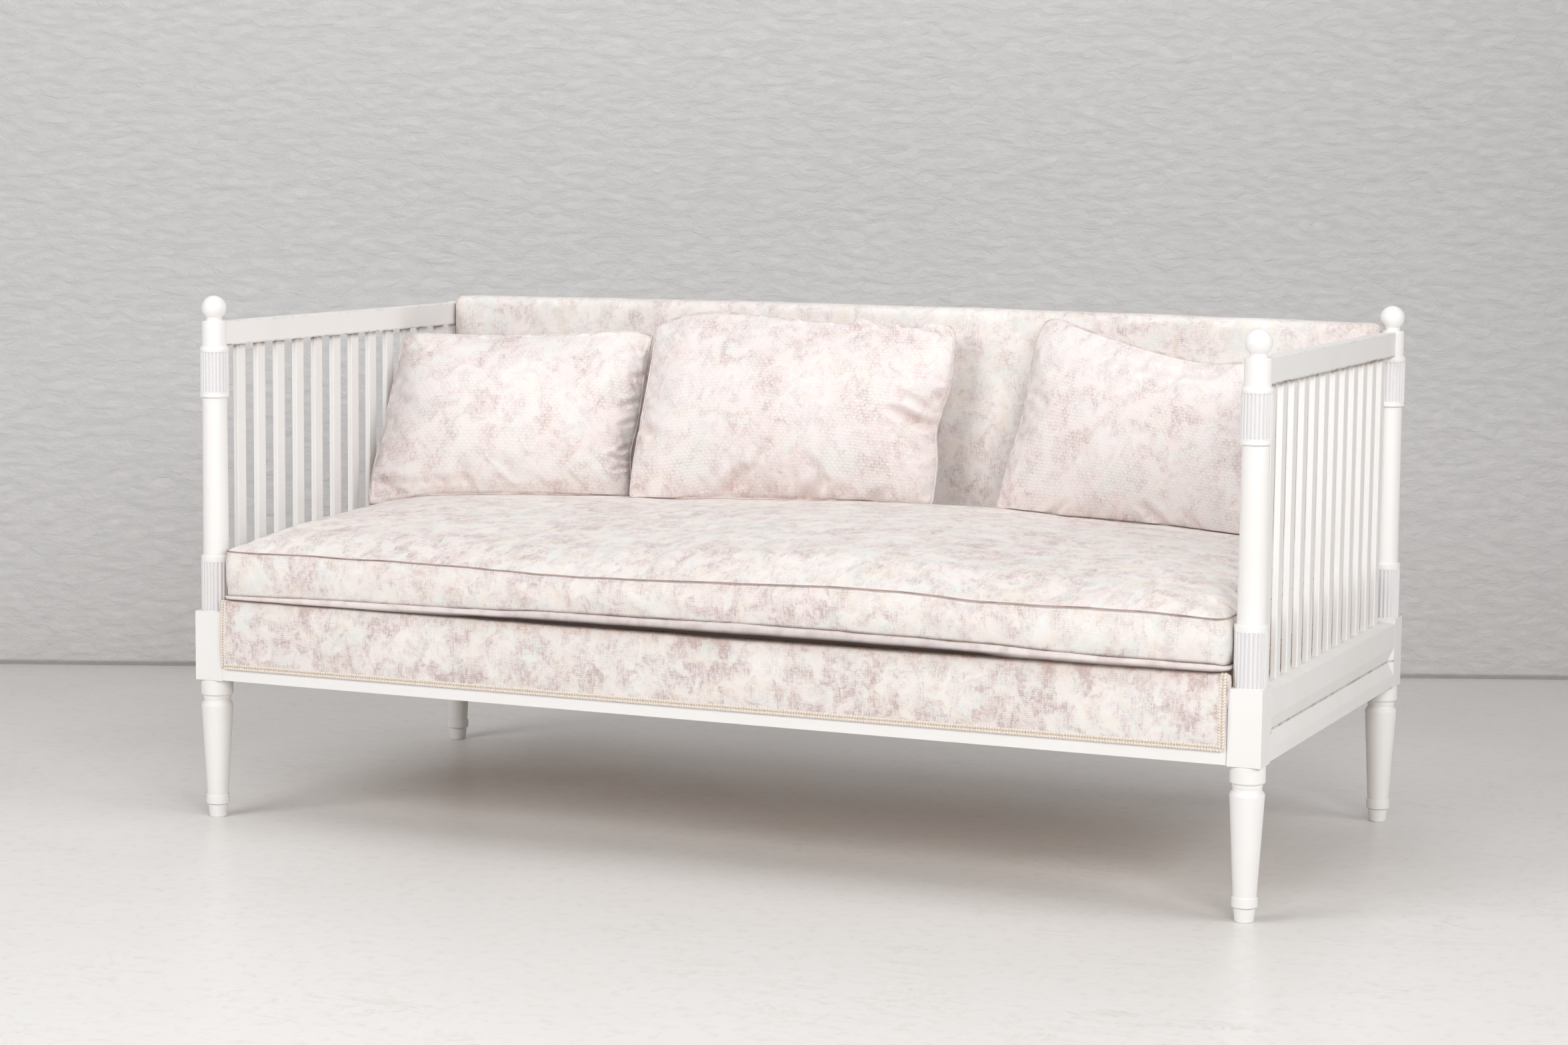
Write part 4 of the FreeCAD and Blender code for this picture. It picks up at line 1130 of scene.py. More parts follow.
    def lower_roll(self) -> bpy.types.Object:
        """Builds the uneven roll under the lower seam: an upright oval, in shade on its underside.

        Returns:
            The roll.
        """
        path = self.ring(False, 0.0016, 0.0, 1.0)
        girths = [self.roll_at(p.x, p.y) / self.roll_radius
                  * (1 + 0.10 * noise.noise(p * 14) + 0.07 * noise.noise(p * 40) if p.y < self.seen else 1.0)
                  for p in path]
        piece = seam_cord("seat_lower_roll", path, self.roll_radius, True, FINISHES.pale_cord, 3, girths)
        around = len(piece.data.vertices) // len(path)
        shades = []
        for k, vertex in enumerate(piece.data.vertices):
            middle = path[k // around]
            out = vertex.co - middle
            wide = min(1.0, 0.0040 / self.roll_at(middle.x, middle.y) + 0.12)
            vertex.co = middle + Vector((out.x * wide, out.y * wide, out.z))
            vertex.co.z = max(vertex.co.z, self.roll_foot - 0.0002)
            down = (vertex.co.z - middle.z) / self.roll_at(middle.x, middle.y)
            shade = self.roll_shade.at(middle.x)
            under = soft_step(0.25 - 0.8 * (1 - shade), -0.6 - 0.25 * (1 - shade), down)
            shades.append(min(1.0, 0.3 + shade) * under + 0.12 * shade if middle.y < self.seen else 0.0)
        piece.data.update()
        painted_shade(piece, shades)
        return piece

    def make(self) -> bpy.types.Object:
        """Builds the cushion with its cords and fixes them to their body.

        Returns:
            The cushion.
        """
        cover = self.build()
        upper = seam_cord("seat_upper_cord", self.ring(True, 0.0008, 0.0), 0.0012, True, FINISHES.dark_cord)
        lower = self.lower_roll()
        # A thin dark cord along the lower seam: painted shade in the seam's crease.
        path = self.ring(False, 0.0024, 0.0)
        girths = [0.35 + 0.65 * soft_step(-0.6, -0.1, p.x) for p in path]
        line = seam_cord("seat_lower_seam_shade", path, 0.0009, True, FINISHES.seam_shade, 1, girths)
        for piece in (cover, upper, lower, line):
            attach(piece, "seat_cushion")
        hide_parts("seat_cushion")
        log.info("seat cushion: %d faces", len(cover.data.polygons))
        return cover


# ---- Loose cushions ----


@dataclass(frozen=True)
class Crease:
    """A fold pressed into a cushion's front, in shares of its half width and height."""

    start: tuple[float, float]
    end: tuple[float, float]
    width: float
    depth: float

    def depth_at(self, s: float, t: float) -> float:
        """How deep the cloth is pressed in at a place, with a slight roll beside the fold.

        Args:
            s: Share across.
            t: Share up.

        Returns:
            The depth.
        """
        run = Vector(self.end) - Vector(self.start)
        out = Vector((s, t)) - Vector(self.start)
        along = out.dot(run) / run.length_squared
        held = min(1.0, max(0.0, along))
        off = (out - run * held).length / self.width
        fade = math.sin(math.pi * (0.25 + 0.5 * held))
        valley = math.exp(-off * off) - 0.45 * math.exp(-((off - 1.7) ** 2) / 0.6)
        return self.depth * fade * valley


@dataclass
class LooseCushion:
    """A knife-edged cushion: two panels sewn together round a cord, leaning where the photograph has it."""

    name: str
    corners: tuple[Point, Point, Point, Point]
    low: Course
    top: Course
    left: Course
    right: Course
    cloth_place: tuple[float, float]
    creases: tuple[Crease, ...] = ()
    front_bulge: float = 0.053
    rear_bulge: float = 0.018
    columns: int = 100
    rows: int = 72
    corner_share: float = 0.035
    clearance: float = 0.002
    slack: float = 0.008
    cord_radius: float = 0.0022
    stuffing: Stuffing = Stuffing(spare_cloth=0.025, reach=0.022, bending=0.2)
    rim: list[int] = field(default_factory=list)

    def on_panel(self, s: float, t: float) -> tuple[Vector, Vector]:
        """A place between the four corners.

        Args:
            s: Share across, from -1 at the left to 1 at the right.
            t: Share up, from -1 to 1.

        Returns:
            The place, and which way the panel faces.
        """
        s, t = rounded(s, t, 1.0, 1.0, self.corner_share)
        a, b = (1 + s) / 2, (1 + t) / 2
        a, b = (self.left.at(b) * (1 - a) + self.right.at(b) * a, self.low.at(a) * (1 - b) + self.top.at(a) * b)
        corners = [Vector(c) for c in self.corners]
        low, top = corners[0].lerp(corners[1], a), corners[2].lerp(corners[3], a)
        side = (corners[1] - corners[0]).lerp(corners[3] - corners[2], b)
        return low.lerp(top, b), side.cross(top - low).normalized()

    def shape_point(self, s: float, t: float, front: bool) -> Vector:
        """A point of the cover before it is filled.

        Args:
            s: Share across.
            t: Share up.
            front: Whether it is on the front panel.

        Returns:
            The point.
        """
        place, facing = self.on_panel(s, t)
        full = (max(0.0, 1 - s * s) * max(0.0, 1 - t * t)) ** 0.46
        ripple = 0.004 * noise.noise(Vector((s * 3.2 + self.cloth_place[0], t * 3.2, 2.0 if front else 7.0)))
        depth = self.front_bulge if front else -self.rear_bulge
        return place + facing * (full * (depth + ripple))

    def build(self) -> bpy.types.Object:
        """Sews the two panels and fills them.

        Returns:
            The cushion.
        """
        shape = bmesh.new()
        bmesh.ops.create_grid(shape, x_segments=self.columns, y_segments=self.rows, size=1.0)
        share_s, share_t = (shape.verts.layers.float.new(n) for n in ("share_s", "share_t"))
        for vertex in shape.verts:
            vertex[share_s], vertex[share_t] = bunched(vertex.co.x, 0.3), bunched(vertex.co.y, 0.3)
        copy = bmesh.ops.duplicate(shape, geom=shape.verts[:] + shape.edges[:] + shape.faces[:])["geom"]
        behind = {g for g in copy if isinstance(g, bmesh.types.BMVert)}
        rims = [v for v in shape.verts if v.is_boundary]
        width = (Vector(self.corners[1]) - Vector(self.corners[0])).length / 2
        height = (Vector(self.corners[2]) - Vector(self.corners[0])).length / 2
        cloth = shape.loops.layers.uv.new("cloth")
        for face in shape.faces:
            for loop in face.loops:
                vert = loop.vert
                turn = 1.3 if vert in behind else 0.0
                loop[cloth].uv = (vert[share_s] * width + self.cloth_place[0] + turn,
                                  vert[share_t] * height + self.cloth_place[1])
        for vertex in shape.verts:
            vertex.co = self.shape_point(vertex[share_s], vertex[share_t], vertex not in behind)
        bmesh.ops.remove_doubles(shape, verts=rims, dist=1e-5)
        bmesh.ops.recalc_face_normals(shape, faces=shape.faces)
        shape.verts.index_update()
        shape.edges.index_update()
        rim = [v for v in shape.verts if max(abs(v[share_s]), abs(v[share_t])) > ON_RIM]
        rim.sort(key=lambda v: (math.atan2(v[share_t], v[share_s]) + FOOT_CORNER) % math.tau)
        self.rim = [v.index for v in rim]
        seams = [e.index for e in shape.edges
                 if any(abs(e.verts[0][k]) > ON_RIM and abs(e.verts[0][k] - e.verts[1][k]) < SNUG
                        for k in (share_s, share_t))]
        shares = [(v[share_s], v[share_t], v not in behind) for v in shape.verts]
        piece = finished_mesh(self.name + "_cover", shape)
        piece.vertex_groups.new(name="seam").add(self.rim, 1.0, "REPLACE")
        self.stuffing.swell(piece, "seam")
        self.crumple(piece, shares)
        kept_in(piece, self.name, self.slack)
        sewn_edge(piece, seams, 0.9)
        piece.data.materials.append(FINISHES.cushion_cloth.material())
        return piece

    def crumple(self, piece: bpy.types.Object, shares: list[tuple[float, float, bool]]) -> None:
        """Presses the creases into the front panel.

        Args:
            piece: The filled cushion.
            shares: Each vertex's shares across and up, and whether it is in front.
        """
        for vertex, (s, t, front) in zip(piece.data.vertices, shares):
            depth = self.pucker(s, t)
            depth += sum(crease.depth_at(s, t) for crease in self.creases) if front else 0.0
            if abs(depth) > 1e-5:
                vertex.co -= self.on_panel(s, t)[1] * depth
        piece.data.update()
        # Painted shade on the front panel, at its foot and in its folds.
        painted_shade(piece, (self.tone(s, t) if front else 0.0 for s, t, front in shares))

    def pucker(self, s: float, t: float) -> float:
        """The small pleats that the seam draws into the cloth beside it.

        Args:
            s: Share across.
            t: Share up.

        Returns:
            How far the cloth is pressed in.
        """
        size = Vector(self.corners[3]) - Vector(self.corners[0])
        depth = 0.0
        for off, along, lean, amount in ((1 - abs(s), t, s, 0.0042), (1 - abs(t), s, t, 0.0026)):
            away = off * size.length / 3
            place = Vector((along * 11 + self.cloth_place[0], lean * 2.2, self.cloth_place[1]))
            pleat = noise.noise(place) + 0.5 * noise.noise(place * 2.3)
            depth += amount * pleat * min(1.0, away / 0.004) * math.exp(-away / 0.022)
        return depth

    def tone(self, s: float, t: float) -> float:
        """Where the cloth is in its own shade: at the foot and in the folds.

        Args:
            s: Share across.
            t: Share up.

        Returns:
            How much painted shade it gets, darker and browner.
        """
        blotch = 0.55 + 0.9 * noise.noise(Vector((s * 2.7 + self.cloth_place[0], t * 2.7, 8.0)))
        foot = 0.40 * soft_step(-0.70, -0.98, t) * max(0.0, blotch) + 0.3 * soft_step(-0.95, -1.0, t)
        folds = sum(max(0.0, crease.depth_at(s, t)) for crease in self.creases)
        return min(0.75, foot + folds * 48)

    def rest_on(self, piece: bpy.types.Object, seat: BVHTree, back_front: Callable[[float, float], float]) -> None:
        """Lifts the cushion's points out of the seat and off the back.

        Args:
            piece: The cushion.
            seat: The seat cushion's faces.
            back_front: Gives the y of the back's front face at an x and z.
        """
        for vertex in piece.data.vertices:
            place = vertex.co
            under = seat.ray_cast(Vector((place.x, place.y, 0.9)), Vector((0, 0, -1)))[0]
            if under is not None:
                place.z = max(place.z, under.z + self.clearance)
            place.y = min(place.y, back_front(place.x, place.z) - self.clearance)
        piece.data.update()

    def make(self, seat: BVHTree, back_front: Callable[[float, float], float]) -> bpy.types.Object:
        """Builds the cushion with its cord and fixes them to their body.

        Args:
            seat: The seat cushion's faces.
            back_front: Gives the y of the back's front face at an x and z.

        Returns:
            The cushion.
        """
        cover = self.build()
        self.rest_on(cover, seat, back_front)
        path = evened([cover.data.vertices[i].co.copy() for i in self.rim], 2, True)
        cord = seam_cord(self.name + "_cord", path, self.cord_radius, True, FINISHES.cushion_cord)
        rounded_off(cover)
        for piece in (cover, cord):
            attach(piece, self.name)
        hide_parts(self.name)
        log.info("%s: %d faces", self.name, len(cover.data.polygons))
        return cover


# ---- Swept padding: the back and the front ----


@dataclass
class SweptPad:
    """Padding with one upright section all along its length: a ring of points swept along X."""

    name: str
    node: str
    body: str
    half_length: float
    section: tuple[tuple[float, float], ...]
    cloth_place: tuple[float, float]
    ring_points: int = 56
    columns: int = 140
    end_round: float = 0.006
    fill: float = 0.9
    finish: PrintedCloth = FINISHES.lightened_back_cloth
    stuffing: Stuffing = Stuffing()
    around: float = 0.0

    def ring(self) -> list[tuple[float, float, float]]:
        """Points at even steps round the section.

        Returns:
            Each point's y, z and distance round.
        """
        corners = [Vector(p) for p in self.section] + [Vector(self.section[0])]
        gone = [0.0]
        for a, b in zip(corners, corners[1:]):
            gone.append(gone[-1] + (b - a).length)
        points = []
        for k in range(self.ring_points):
            along = gone[-1] * k / self.ring_points
            i = bisect_right(gone, along) - 1
            share = (along - gone[i]) / (gone[i + 1] - gone[i])
            place = corners[i].lerp(corners[i + 1], share)
            points.append((place.x, place.y, along))
        self.around = gone[-1]
        return points

    def station(self, share: float) -> float:
        """Where a column of points stands, for a share from -1 to 1."""
        return bunched(share) * self.half_length

    def shape_point(self, x: float, y: float, z: float) -> Vector:
        """Where a point of the swept section goes."""
        return Vector((x, y, z))

    def held(self, point: Vector) -> bool:
        """Whether a point is tacked to the wood."""
        return True

    def tone(self, point: Vector) -> float:
        """How much painted shade, darker and browner, the cloth gets at a point."""
        return 0.0

    def build(self) -> bpy.types.Object:
        """Sweeps the ring and fills the cover.

        Returns:
            The padding.
        """
        shape = bmesh.new()
        ring = self.ring()
        around = shape.verts.layers.float.new("around")
        start = bmesh.ops.create_circle(shape, cap_ends=True, segments=self.ring_points, radius=1.0)["verts"]
        for vertex, (y, z, along) in zip(start, ring):
            vertex.co, vertex[around] = (-1.0, y, z), along
        bmesh.ops.spin(shape, geom=shape.faces[:] + shape.edges[:] + shape.verts[:], cent=(0, 0, 0), axis=(1, 0, 0),
                       dvec=(2.0 / self.columns, 0, 0), angle=0.0, steps=self.columns, use_merge=False)
        bmesh.ops.recalc_face_normals(shape, faces=shape.faces)
        cloth = shape.loops.layers.uv.new("cloth")
        for face in shape.faces:
            places = [v[around] for v in face.verts]
            wraps = len(places) == 4 and max(places) - min(places) > self.around / 2
            for loop in face.loops:
                along = loop.vert[around] + (self.around if wraps and loop.vert[around] < self.around / 2 else 0.0)
                loop[cloth].uv = (self.station(loop.vert.co.x) + self.cloth_place[0], self.cloth_place[1] - along)
        for vertex in shape.verts:
            vertex.co = self.shape_point(self.station(vertex.co.x), vertex.co.y, vertex.co.z)
        set_order(shape)
        tacked = [v.index for v in shape.verts if self.held(v.co)]
        piece = finished_mesh(self.name, shape)
        piece.vertex_groups.new(name="tacked").add(tacked, 1.0, "REPLACE")
        self.stuffing.swell(piece, "tacked")
        # Painted shade where the pad's tone places it.
        painted_shade(piece, (self.tone(v.co) for v in piece.data.vertices))
        rounded_off(piece)
        piece.data.materials.append(self.finish.material())
        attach(piece, self.body)
        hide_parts(self.node)
        log.info("%s: %d faces", self.name, len(piece.data.polygons))
        return piece


def back_section() -> tuple[tuple[float, float], ...]:
    """The back padding's upright section.

    Returns:
        Its points, round from the foot of the hidden side.
    """
    radius = 0.014
    turn = [math.pi / 2 * i / 6 for i in range(7)]
    roll = [(BACK_FACE + radius - radius * math.cos(a), BACK_TOP + radius * math.sin(a)) for a in turn]
    rear_roll = [(0.435 + radius * math.sin(a), BACK_TOP + radius * math.cos(a)) for a in turn]
    return ((0.4175, 0.3895), (BACK_FACE, 0.3895), *roll, *rear_roll, (0.4485, 0.8625), (0.4175, 0.8625))


@dataclass
class BackPad(SweptPad):
    """The stuffed back: crowned in front and rolled over the top rail."""

    name: str = "back_cover"
    node: str = "back_padding"
    body: str = "frame"
    half_length: float = 0.892
    section: tuple[tuple[float, float], ...] = field(default_factory=back_section)
    cloth_place: tuple[float, float] = (0.3, 3.0)
    ring_points: int = 84
    columns: int = 130
    lap: float = 0.014
    lap_share: float = 0.06
    lap_rear: float = 0.4035
    end_round: float = 0.011
    crown: float = 0.0155
    sag: float = 0.0055
    rail: float = 0.863
    roll_height: float = 0.017
    stuffing: Stuffing = Stuffing(pressure=2.5, spare_cloth=0.008, reach=0.004)

    def front_face(self, x: float, z: float) -> float:
        """The y of the crowned front face.

        Args:
            x: Place along.
            z: Height.

        Returns:
            Its y.
        """
        up = (z - BACK_FOOT) / (BACK_TOP - BACK_FOOT)
        crown = max(0.0, 1 - (2 * up - 1) ** 2) * max(0.0, 1 - (x / self.half_length) ** 4)
        return BACK_FACE - self.crown * crown

    def station(self, share: float) -> float:
        """Where a column of points stands: a few of them shape the laps before the rear posts.

        Args:
            share: From -1 at the left end to 1 at the right end.

        Returns:
            Its place along.
        """
        body = 1 - self.lap_share
        if abs(share) <= body:
            return bunched(share / body) * self.half_length
        over = (abs(share) - body) / self.lap_share
        return math.copysign(self.half_length + self.lap * (1 - max(0.0, 1 - over) ** 1.6), share)

    def shape_point(self, x: float, y: float, z: float) -> Vector:
        """Crowns the front, rounds the ends and lets the top sink a little towards them.

        Args:
            x: Place along.
            y: The section's y.
            z: The section's z.

        Returns:
            The point.
        """
        over = max(0.0, abs(x) - (self.half_length + self.lap - self.end_round)) / self.end_round
        inset = self.end_round * (1 - math.sqrt(max(0.0, 1 - over * over)))
        if y < BACK_FACE + 0.0005 and z < BACK_TOP:
            y = self.front_face(x, z)
        if abs(x) > self.half_length + 0.0002:
            y = min(self.lap_rear, y + inset)
        if z > self.rail + 0.001:
            drop = self.sag * (x / self.half_length) ** 2 * (z - self.rail - 0.001) / self.roll_height
            z = max(self.rail, z - drop - inset * 0.7)
            z += 0.0012 * noise.noise(Vector((x * 9, 0, 4.0))) * (z - self.rail) / self.roll_height
        return Vector((x, y, z))

    def tone(self, point: Vector) -> float:
        """The shaded cloth at the foot and in the folds of the ends."""
        end = 0.5 * soft_step(self.half_length - 0.012, self.half_length + 0.006, abs(point.x))
        return min(0.6, 0.35 * soft_step(0.50, 0.44, point.z) + end)

    def held(self, point: Vector) -> bool:
        """Whether a point is tacked to the back's frame."""
        out = abs(point.x) - self.half_length
        return point.y > 0.414 or point.z < 0.392 or out > self.lap - 0.002 or (out > 0 and point.y > 0.402)


def front_section() -> tuple[tuple[float, float], ...]:
    """The front padding's upright section.

    Returns:
        Its points, round from the foot of the hidden side.
    """
    turn = [math.pi / 2 * i / 6 for i in range(7)]
    middle = (FRONT_FACE + FRONT_ROLL, FRONT_TOP - FRONT_ROLL)
    roll = [(middle[0] - FRONT_ROLL * math.cos(a), middle[1] + FRONT_ROLL * math.sin(a)) for a in turn]
    return ((-0.4567, 0.2642), (FRONT_FACE, 0.2642), *roll, (-0.4497, FRONT_TOP), (-0.4497, 0.3795),
            (-0.4567, 0.3792))


@dataclass
class FrontPad(SweptPad):
    """The padded cover of the pull-out front, rolled over the board's top."""

    name: str = "front_cover"
    node: str = "front_padding"
    body: str = "pull_out_front"
    half_length: float = 0.8922
    section: tuple[tuple[float, float], ...] = field(default_factory=front_section)
    cloth_place: tuple[float, float] = (0.7, 7.0)
    ring_points: int = 60
    columns: int = 180
    bulge: float = 0.0029
    puff: float = 0.009
    board: float = -0.4575
    over_edge: float = 0.372
    sag: Course = Course(((-0.9, 0), (-0.35, 0), (0, 0.0012), (0.4, 0.0012), (0.84, 0), (0.9, 0)))
    finish: PrintedCloth = FINISHES.front_cloth
    stuffing: Stuffing = Stuffing(pressure=2.0, spare_cloth=0.008, reach=0.0016)

    def face(self, z: float) -> float:
        """The y of the padded face at a height."""
        up = (z - FRONT_FOOT) / (FRONT_TOP - FRONT_ROLL - FRONT_FOOT)
        return FRONT_FACE - self.bulge * max(0.0, 1 - (2 * up - 1) ** 2)

    def shape_point(self, x: float, y: float, z: float) -> Vector:
        """Pads the face, rounds the ends and puffs out the top corner on the right.

        Args:
            x: Place along.
            y: The section's y.
            z: The section's z.

        Returns:
            The point.
        """
        over = max(0.0, abs(x) - (self.half_length - self.end_round)) / self.end_round
        inset = self.end_round * (1 - math.sqrt(max(0.0, 1 - over * over)))
        if y < -0.4595 and z < FRONT_TOP - FRONT_ROLL:
            y = self.face(z) + 0.0006 * noise.noise(Vector((x * 22, z * 14, 5.0)))
        if y < self.board:
            y = min(self.board, y + inset * 0.5)
        puffed = soft_step(0.366, 0.374, z) * soft_step(self.half_length - 0.014, self.half_length, x)
        x += self.puff * puffed
        if z > self.over_edge:
            z -= (self.sag.at(x) + inset * 0.6) * soft_step(self.over_edge, FRONT_TOP, z)
        return Vector((x, y, z))

    def tone(self, point: Vector) -> float:
        """The shaded cloth just under the cushion."""
        blotch = 0.8 + 0.8 * noise.noise(Vector((point.x * 15, point.z * 5, 3.0)))
        near = 0.28 * blotch * soft_step(0.350, 0.376, point.z) + 0.62 * soft_step(self.over_edge, 0.383, point.z)
        return near * (0.5 + 0.5 * soft_step(-0.5, -0.25, point.x)) * (1 - 0.6 * soft_step(0.82, 0.88, point.x))

    def held(self, point: Vector) -> bool:
        """Whether a point is tacked to the board."""
        return point.y > -0.4585 or point.z < 0.276 or abs(point.x) > self.half_length - 0.012


@dataclass
class RearCover:
    """The plain cloth tacked over the rear of the back, turned in at its edges."""

    half_length: float = 0.8918
    low: float = 0.3590
    high: float = 0.8615
    near: float = 0.4462
    far: float = 0.4488
    slack: float = 0.0007
    tack_pull: float = 0.0004
    tacks: int = 28
    columns: int = 120
    rows: int = 34

    def make(self) -> bpy.types.Object:
        """Builds the panel, with slight slack between its tacks.

        Returns:
            The panel.
        """
        shape = bmesh.new()
        bmesh.ops.create_grid(shape, x_segments=self.columns, y_segments=self.rows, size=1.0)
        bmesh.ops.solidify(shape, geom=shape.faces[:], thickness=1.0)
        cloth = shape.loops.layers.uv.new("cloth")
        outer = max(v.co.z for v in shape.verts)
        middle, half = (self.low + self.high) / 2, (self.high - self.low) / 2
        for vertex in shape.verts:
            s, t, out = bunched(vertex.co.x), bunched(vertex.co.y), vertex.co.z > outer - 0.5
            edge = min(1.0, 30 * min(1 - abs(s), (1 - abs(t)) * 0.4))
            slack = self.slack * noise.noise(Vector((s * 9, t * 3, 6.0))) * edge
            tacks = self.tack_pull * math.cos(s * math.pi * self.tacks) * soft_step(0.9, 1.0, abs(t))
            y = self.near if not out else self.far - 0.0012 * (1 - edge) + slack + tacks * edge
            vertex.co = (s * self.half_length, y, middle + t * half)
        bmesh.ops.recalc_face_normals(shape, faces=shape.faces)
        for face in shape.faces:
            for loop in face.loops:
                loop[cloth].uv = (-loop.vert.co.x + 1.1, loop.vert.co.z + 4.0)
        set_order(shape)
        panel = finished_mesh("rear_cloth", shape)
        panel.data.materials.append(FINISHES.lightened_back_cloth.material())
        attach(panel, "frame")
        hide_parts("back_outer_cover")
        log.info("rear cloth: %d faces", len(panel.data.polygons))
        return panel


@dataclass
class GimpBraid:
    """The narrow braid round the front cover: two rows of looped knots on a flat core."""

    half_length: float = 0.8865
    foot: float = 0.2702
    top: float = FRONT_TOP - FRONT_ROLL
    pitch: float = 0.0046
    row_offset: float = 0.0030
    width: float = 0.0088
    over_top: float = 0.009
    knot: tuple[float, float, float] = (0.0034, 0.0019, 0.0014)
    lean: float = 0.75
    knot_lift: float = 0.0008
    core_thickness: float = 0.0007
    core_lift: float = 0.0001
    core_steps: int = 400

    def on_path(self, gone: float, side: float, out: float, face: Callable[[float], float]) -> Vector:
        """Lays a place of the straight braid down one end, along the foot, up the other end and over the top.

        Args:
            gone: Distance along the braid.
            side: Distance from its middle, to its right.
            out: Height above the cloth.
            face: Gives the y of the padded face at a height.

        Returns:
            The place on the cover.
        """
        upright = self.top - self.foot
        if gone < self.over_top + upright:
            x, z = -self.half_length - side, self.top + self.over_top - gone
        elif gone < self.over_top + upright + 2 * self.half_length:
            x, z = gone - self.over_top - upright - self.half_length, self.foot - side
        else:
            x, z = self.half_length + side, gone - self.over_top - upright - 2 * self.half_length + self.foot
        if z <= self.top:
            return Vector((x, face(z) - out, z))
        angle = min(1.35, (z - self.top) / FRONT_ROLL)
        reach = FRONT_ROLL + out
        return Vector((x, face(self.top) + FRONT_ROLL - reach * math.cos(angle), self.top + reach * math.sin(angle)))

    def length(self) -> float:
        """The braid's whole length."""
        return 2 * (self.over_top + self.top - self.foot + self.half_length)

    def make(self, face: Callable[[float], float]) -> bpy.types.Object:
        """Builds the knots on their core.

        Args:
            face: Gives the y of the padded face at a height.

        Returns:
            The braid.
        """
        shape = bmesh.new()
        for row in (-1, 1):
            lean = Matrix.Rotation(self.lean * row, 4, "Z")
            size = Matrix.Diagonal((*self.knot, 1.0))
            spot = Matrix.Translation((0.0, self.row_offset * row, 0.0))
            bmesh.ops.create_uvsphere(shape, u_segments=6, v_segments=4, radius=1.0, matrix=spot @ lean @ size)
        total, count = int(self.length() / self.pitch), 1
        pitch = self.length() / total
        while count < total:
            take = min(count, total - count)
            part = [v for v in shape.verts if v.co.x < (take - 0.5) * pitch]
            joined = {e for v in part for e in v.link_edges} | {f for v in part for f in v.link_faces}
            copy = bmesh.ops.duplicate(shape, geom=part + list(joined))["geom"]
            bmesh.ops.translate(shape, verts=[g for g in copy if isinstance(g, bmesh.types.BMVert)],
                                vec=(count * pitch, 0.0, 0.0))
            count += take
        for vertex in shape.verts:
            gone, side, out = vertex.co
            vertex.co = self.on_path(gone + pitch / 2, side, out + self.knot_lift, face)
        bmesh.ops.recalc_face_normals(shape, faces=shape.faces)
        set_order(shape)
        braid = finished_mesh("looped_braid", shape)
        braid.data.materials.append(FINISHES.braid.material())
        core = self.core(face)
        for piece in (braid, core):
            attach(piece, "pull_out_front")
        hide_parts("gimp_braid")
        log.info("gimp braid: %d faces", len(braid.data.polygons))
        return braid

    def core(self, face: Callable[[float], float]) -> bpy.types.Object:
        """Builds the flat core under the knots.

        Args:
            face: Gives the y of the padded face at a height.

        Returns:
            The core.
        """
        shape = bmesh.new()
        bmesh.ops.create_cube(shape, size=1.0)
        long_edges = [e for e in shape.edges if abs(e.verts[0].co.x - e.verts[1].co.x) > 0.5]
        bmesh.ops.subdivide_edges(shape, edges=long_edges, cuts=self.core_steps, use_grid_fill=True)
        for vertex in shape.verts:
            gone, out = (vertex.co.x + 0.5) * self.length(), (vertex.co.z + 0.5) * self.core_thickness
            vertex.co = self.on_path(gone, vertex.co.y * self.width, out + self.core_lift, face)
        bmesh.ops.recalc_face_normals(shape, faces=shape.faces)
        core = finished_mesh("braid_core", shape, smooth=False)
        core.data.materials.append(FINISHES.braid_core.material())
        return core


# ---- Studio ----


@dataclass(frozen=True)
class PlasterWall(Finish):
    """The backdrop, seen from its front only, so that it doesn't hide the bench from behind."""

    def paint(self, bench: NodeBench, shader: bpy.types.Node) -> None:
        """Draws a pale grey plaster with worn patches and a dark line at its foot, and painted light: darker to the
        right and brighter higher up on the left.

        Args:
            bench: The material's nodes.
            shader: Its Principled node.
        """
        place = bench.put("TexCoord").outputs["Object"]
        parts = bench.put("SeparateXYZ", {0: place})
        # Painted light and shade: the plaster darkens to the right and is lifted higher up on the left.
        side = bench.rise(parts.outputs[0], -0.4, 3.1)
        foot = bench.rise(parts.outputs[2], 0.0, 1.1, 0.0, 1.0)
        colour = bench.blend(side, (0.695, 0.687, 0.688), (0.447, 0.433, 0.432))
        lifted = bench.blend(side, (1.10, 1.09, 1.08), (0.98, 0.97, 0.96))
        colour = bench.blend(foot, colour, bench.blend(1.0, colour, lifted, "MULTIPLY"))
        worn = bench.rise(bench.cloud(bench.stretched(place, (1.0, 1.0, 1.6)), 9.0, 6.0, 0.7, 1.0), 0.48, 0.6, 0.5)
        worn = bench.sum_up("MULTIPLY", worn, bench.rise(parts.outputs[2], 0.05, 0.15, 0.0, 1.0))
        colour = bench.blend(worn, colour, (0.70, 0.69, 0.68))
        colour = bench.blend(bench.rise(parts.outputs[2], 0.006, 0.014, 0.0, 0.6), colour, (0.24, 0.23, 0.225))
        bench.feed(shader, {"Base Color": colour, "Roughness": 0.75, "Specular IOR Level": 0.3})
        trowel = bench.cloud(bench.stretched(place, (0.8, 0.8, 1.7)), 30.0, 9.0, 0.7, 1.0)
        self.relief(bench, shader, trowel, 0.010, 0.7)
        clear = bench.put("BsdfTransparent").outputs[0]
        behind = bench.put("NewGeometry").outputs["Backfacing"]
        both = bench.put("MixShader", {0: behind, 1: shader.outputs[0], 2: clear}).outputs[0]
        bench.feed(next(n for n in bench.tree.nodes if n.type == "OUTPUT_MATERIAL"), {"Surface": both})


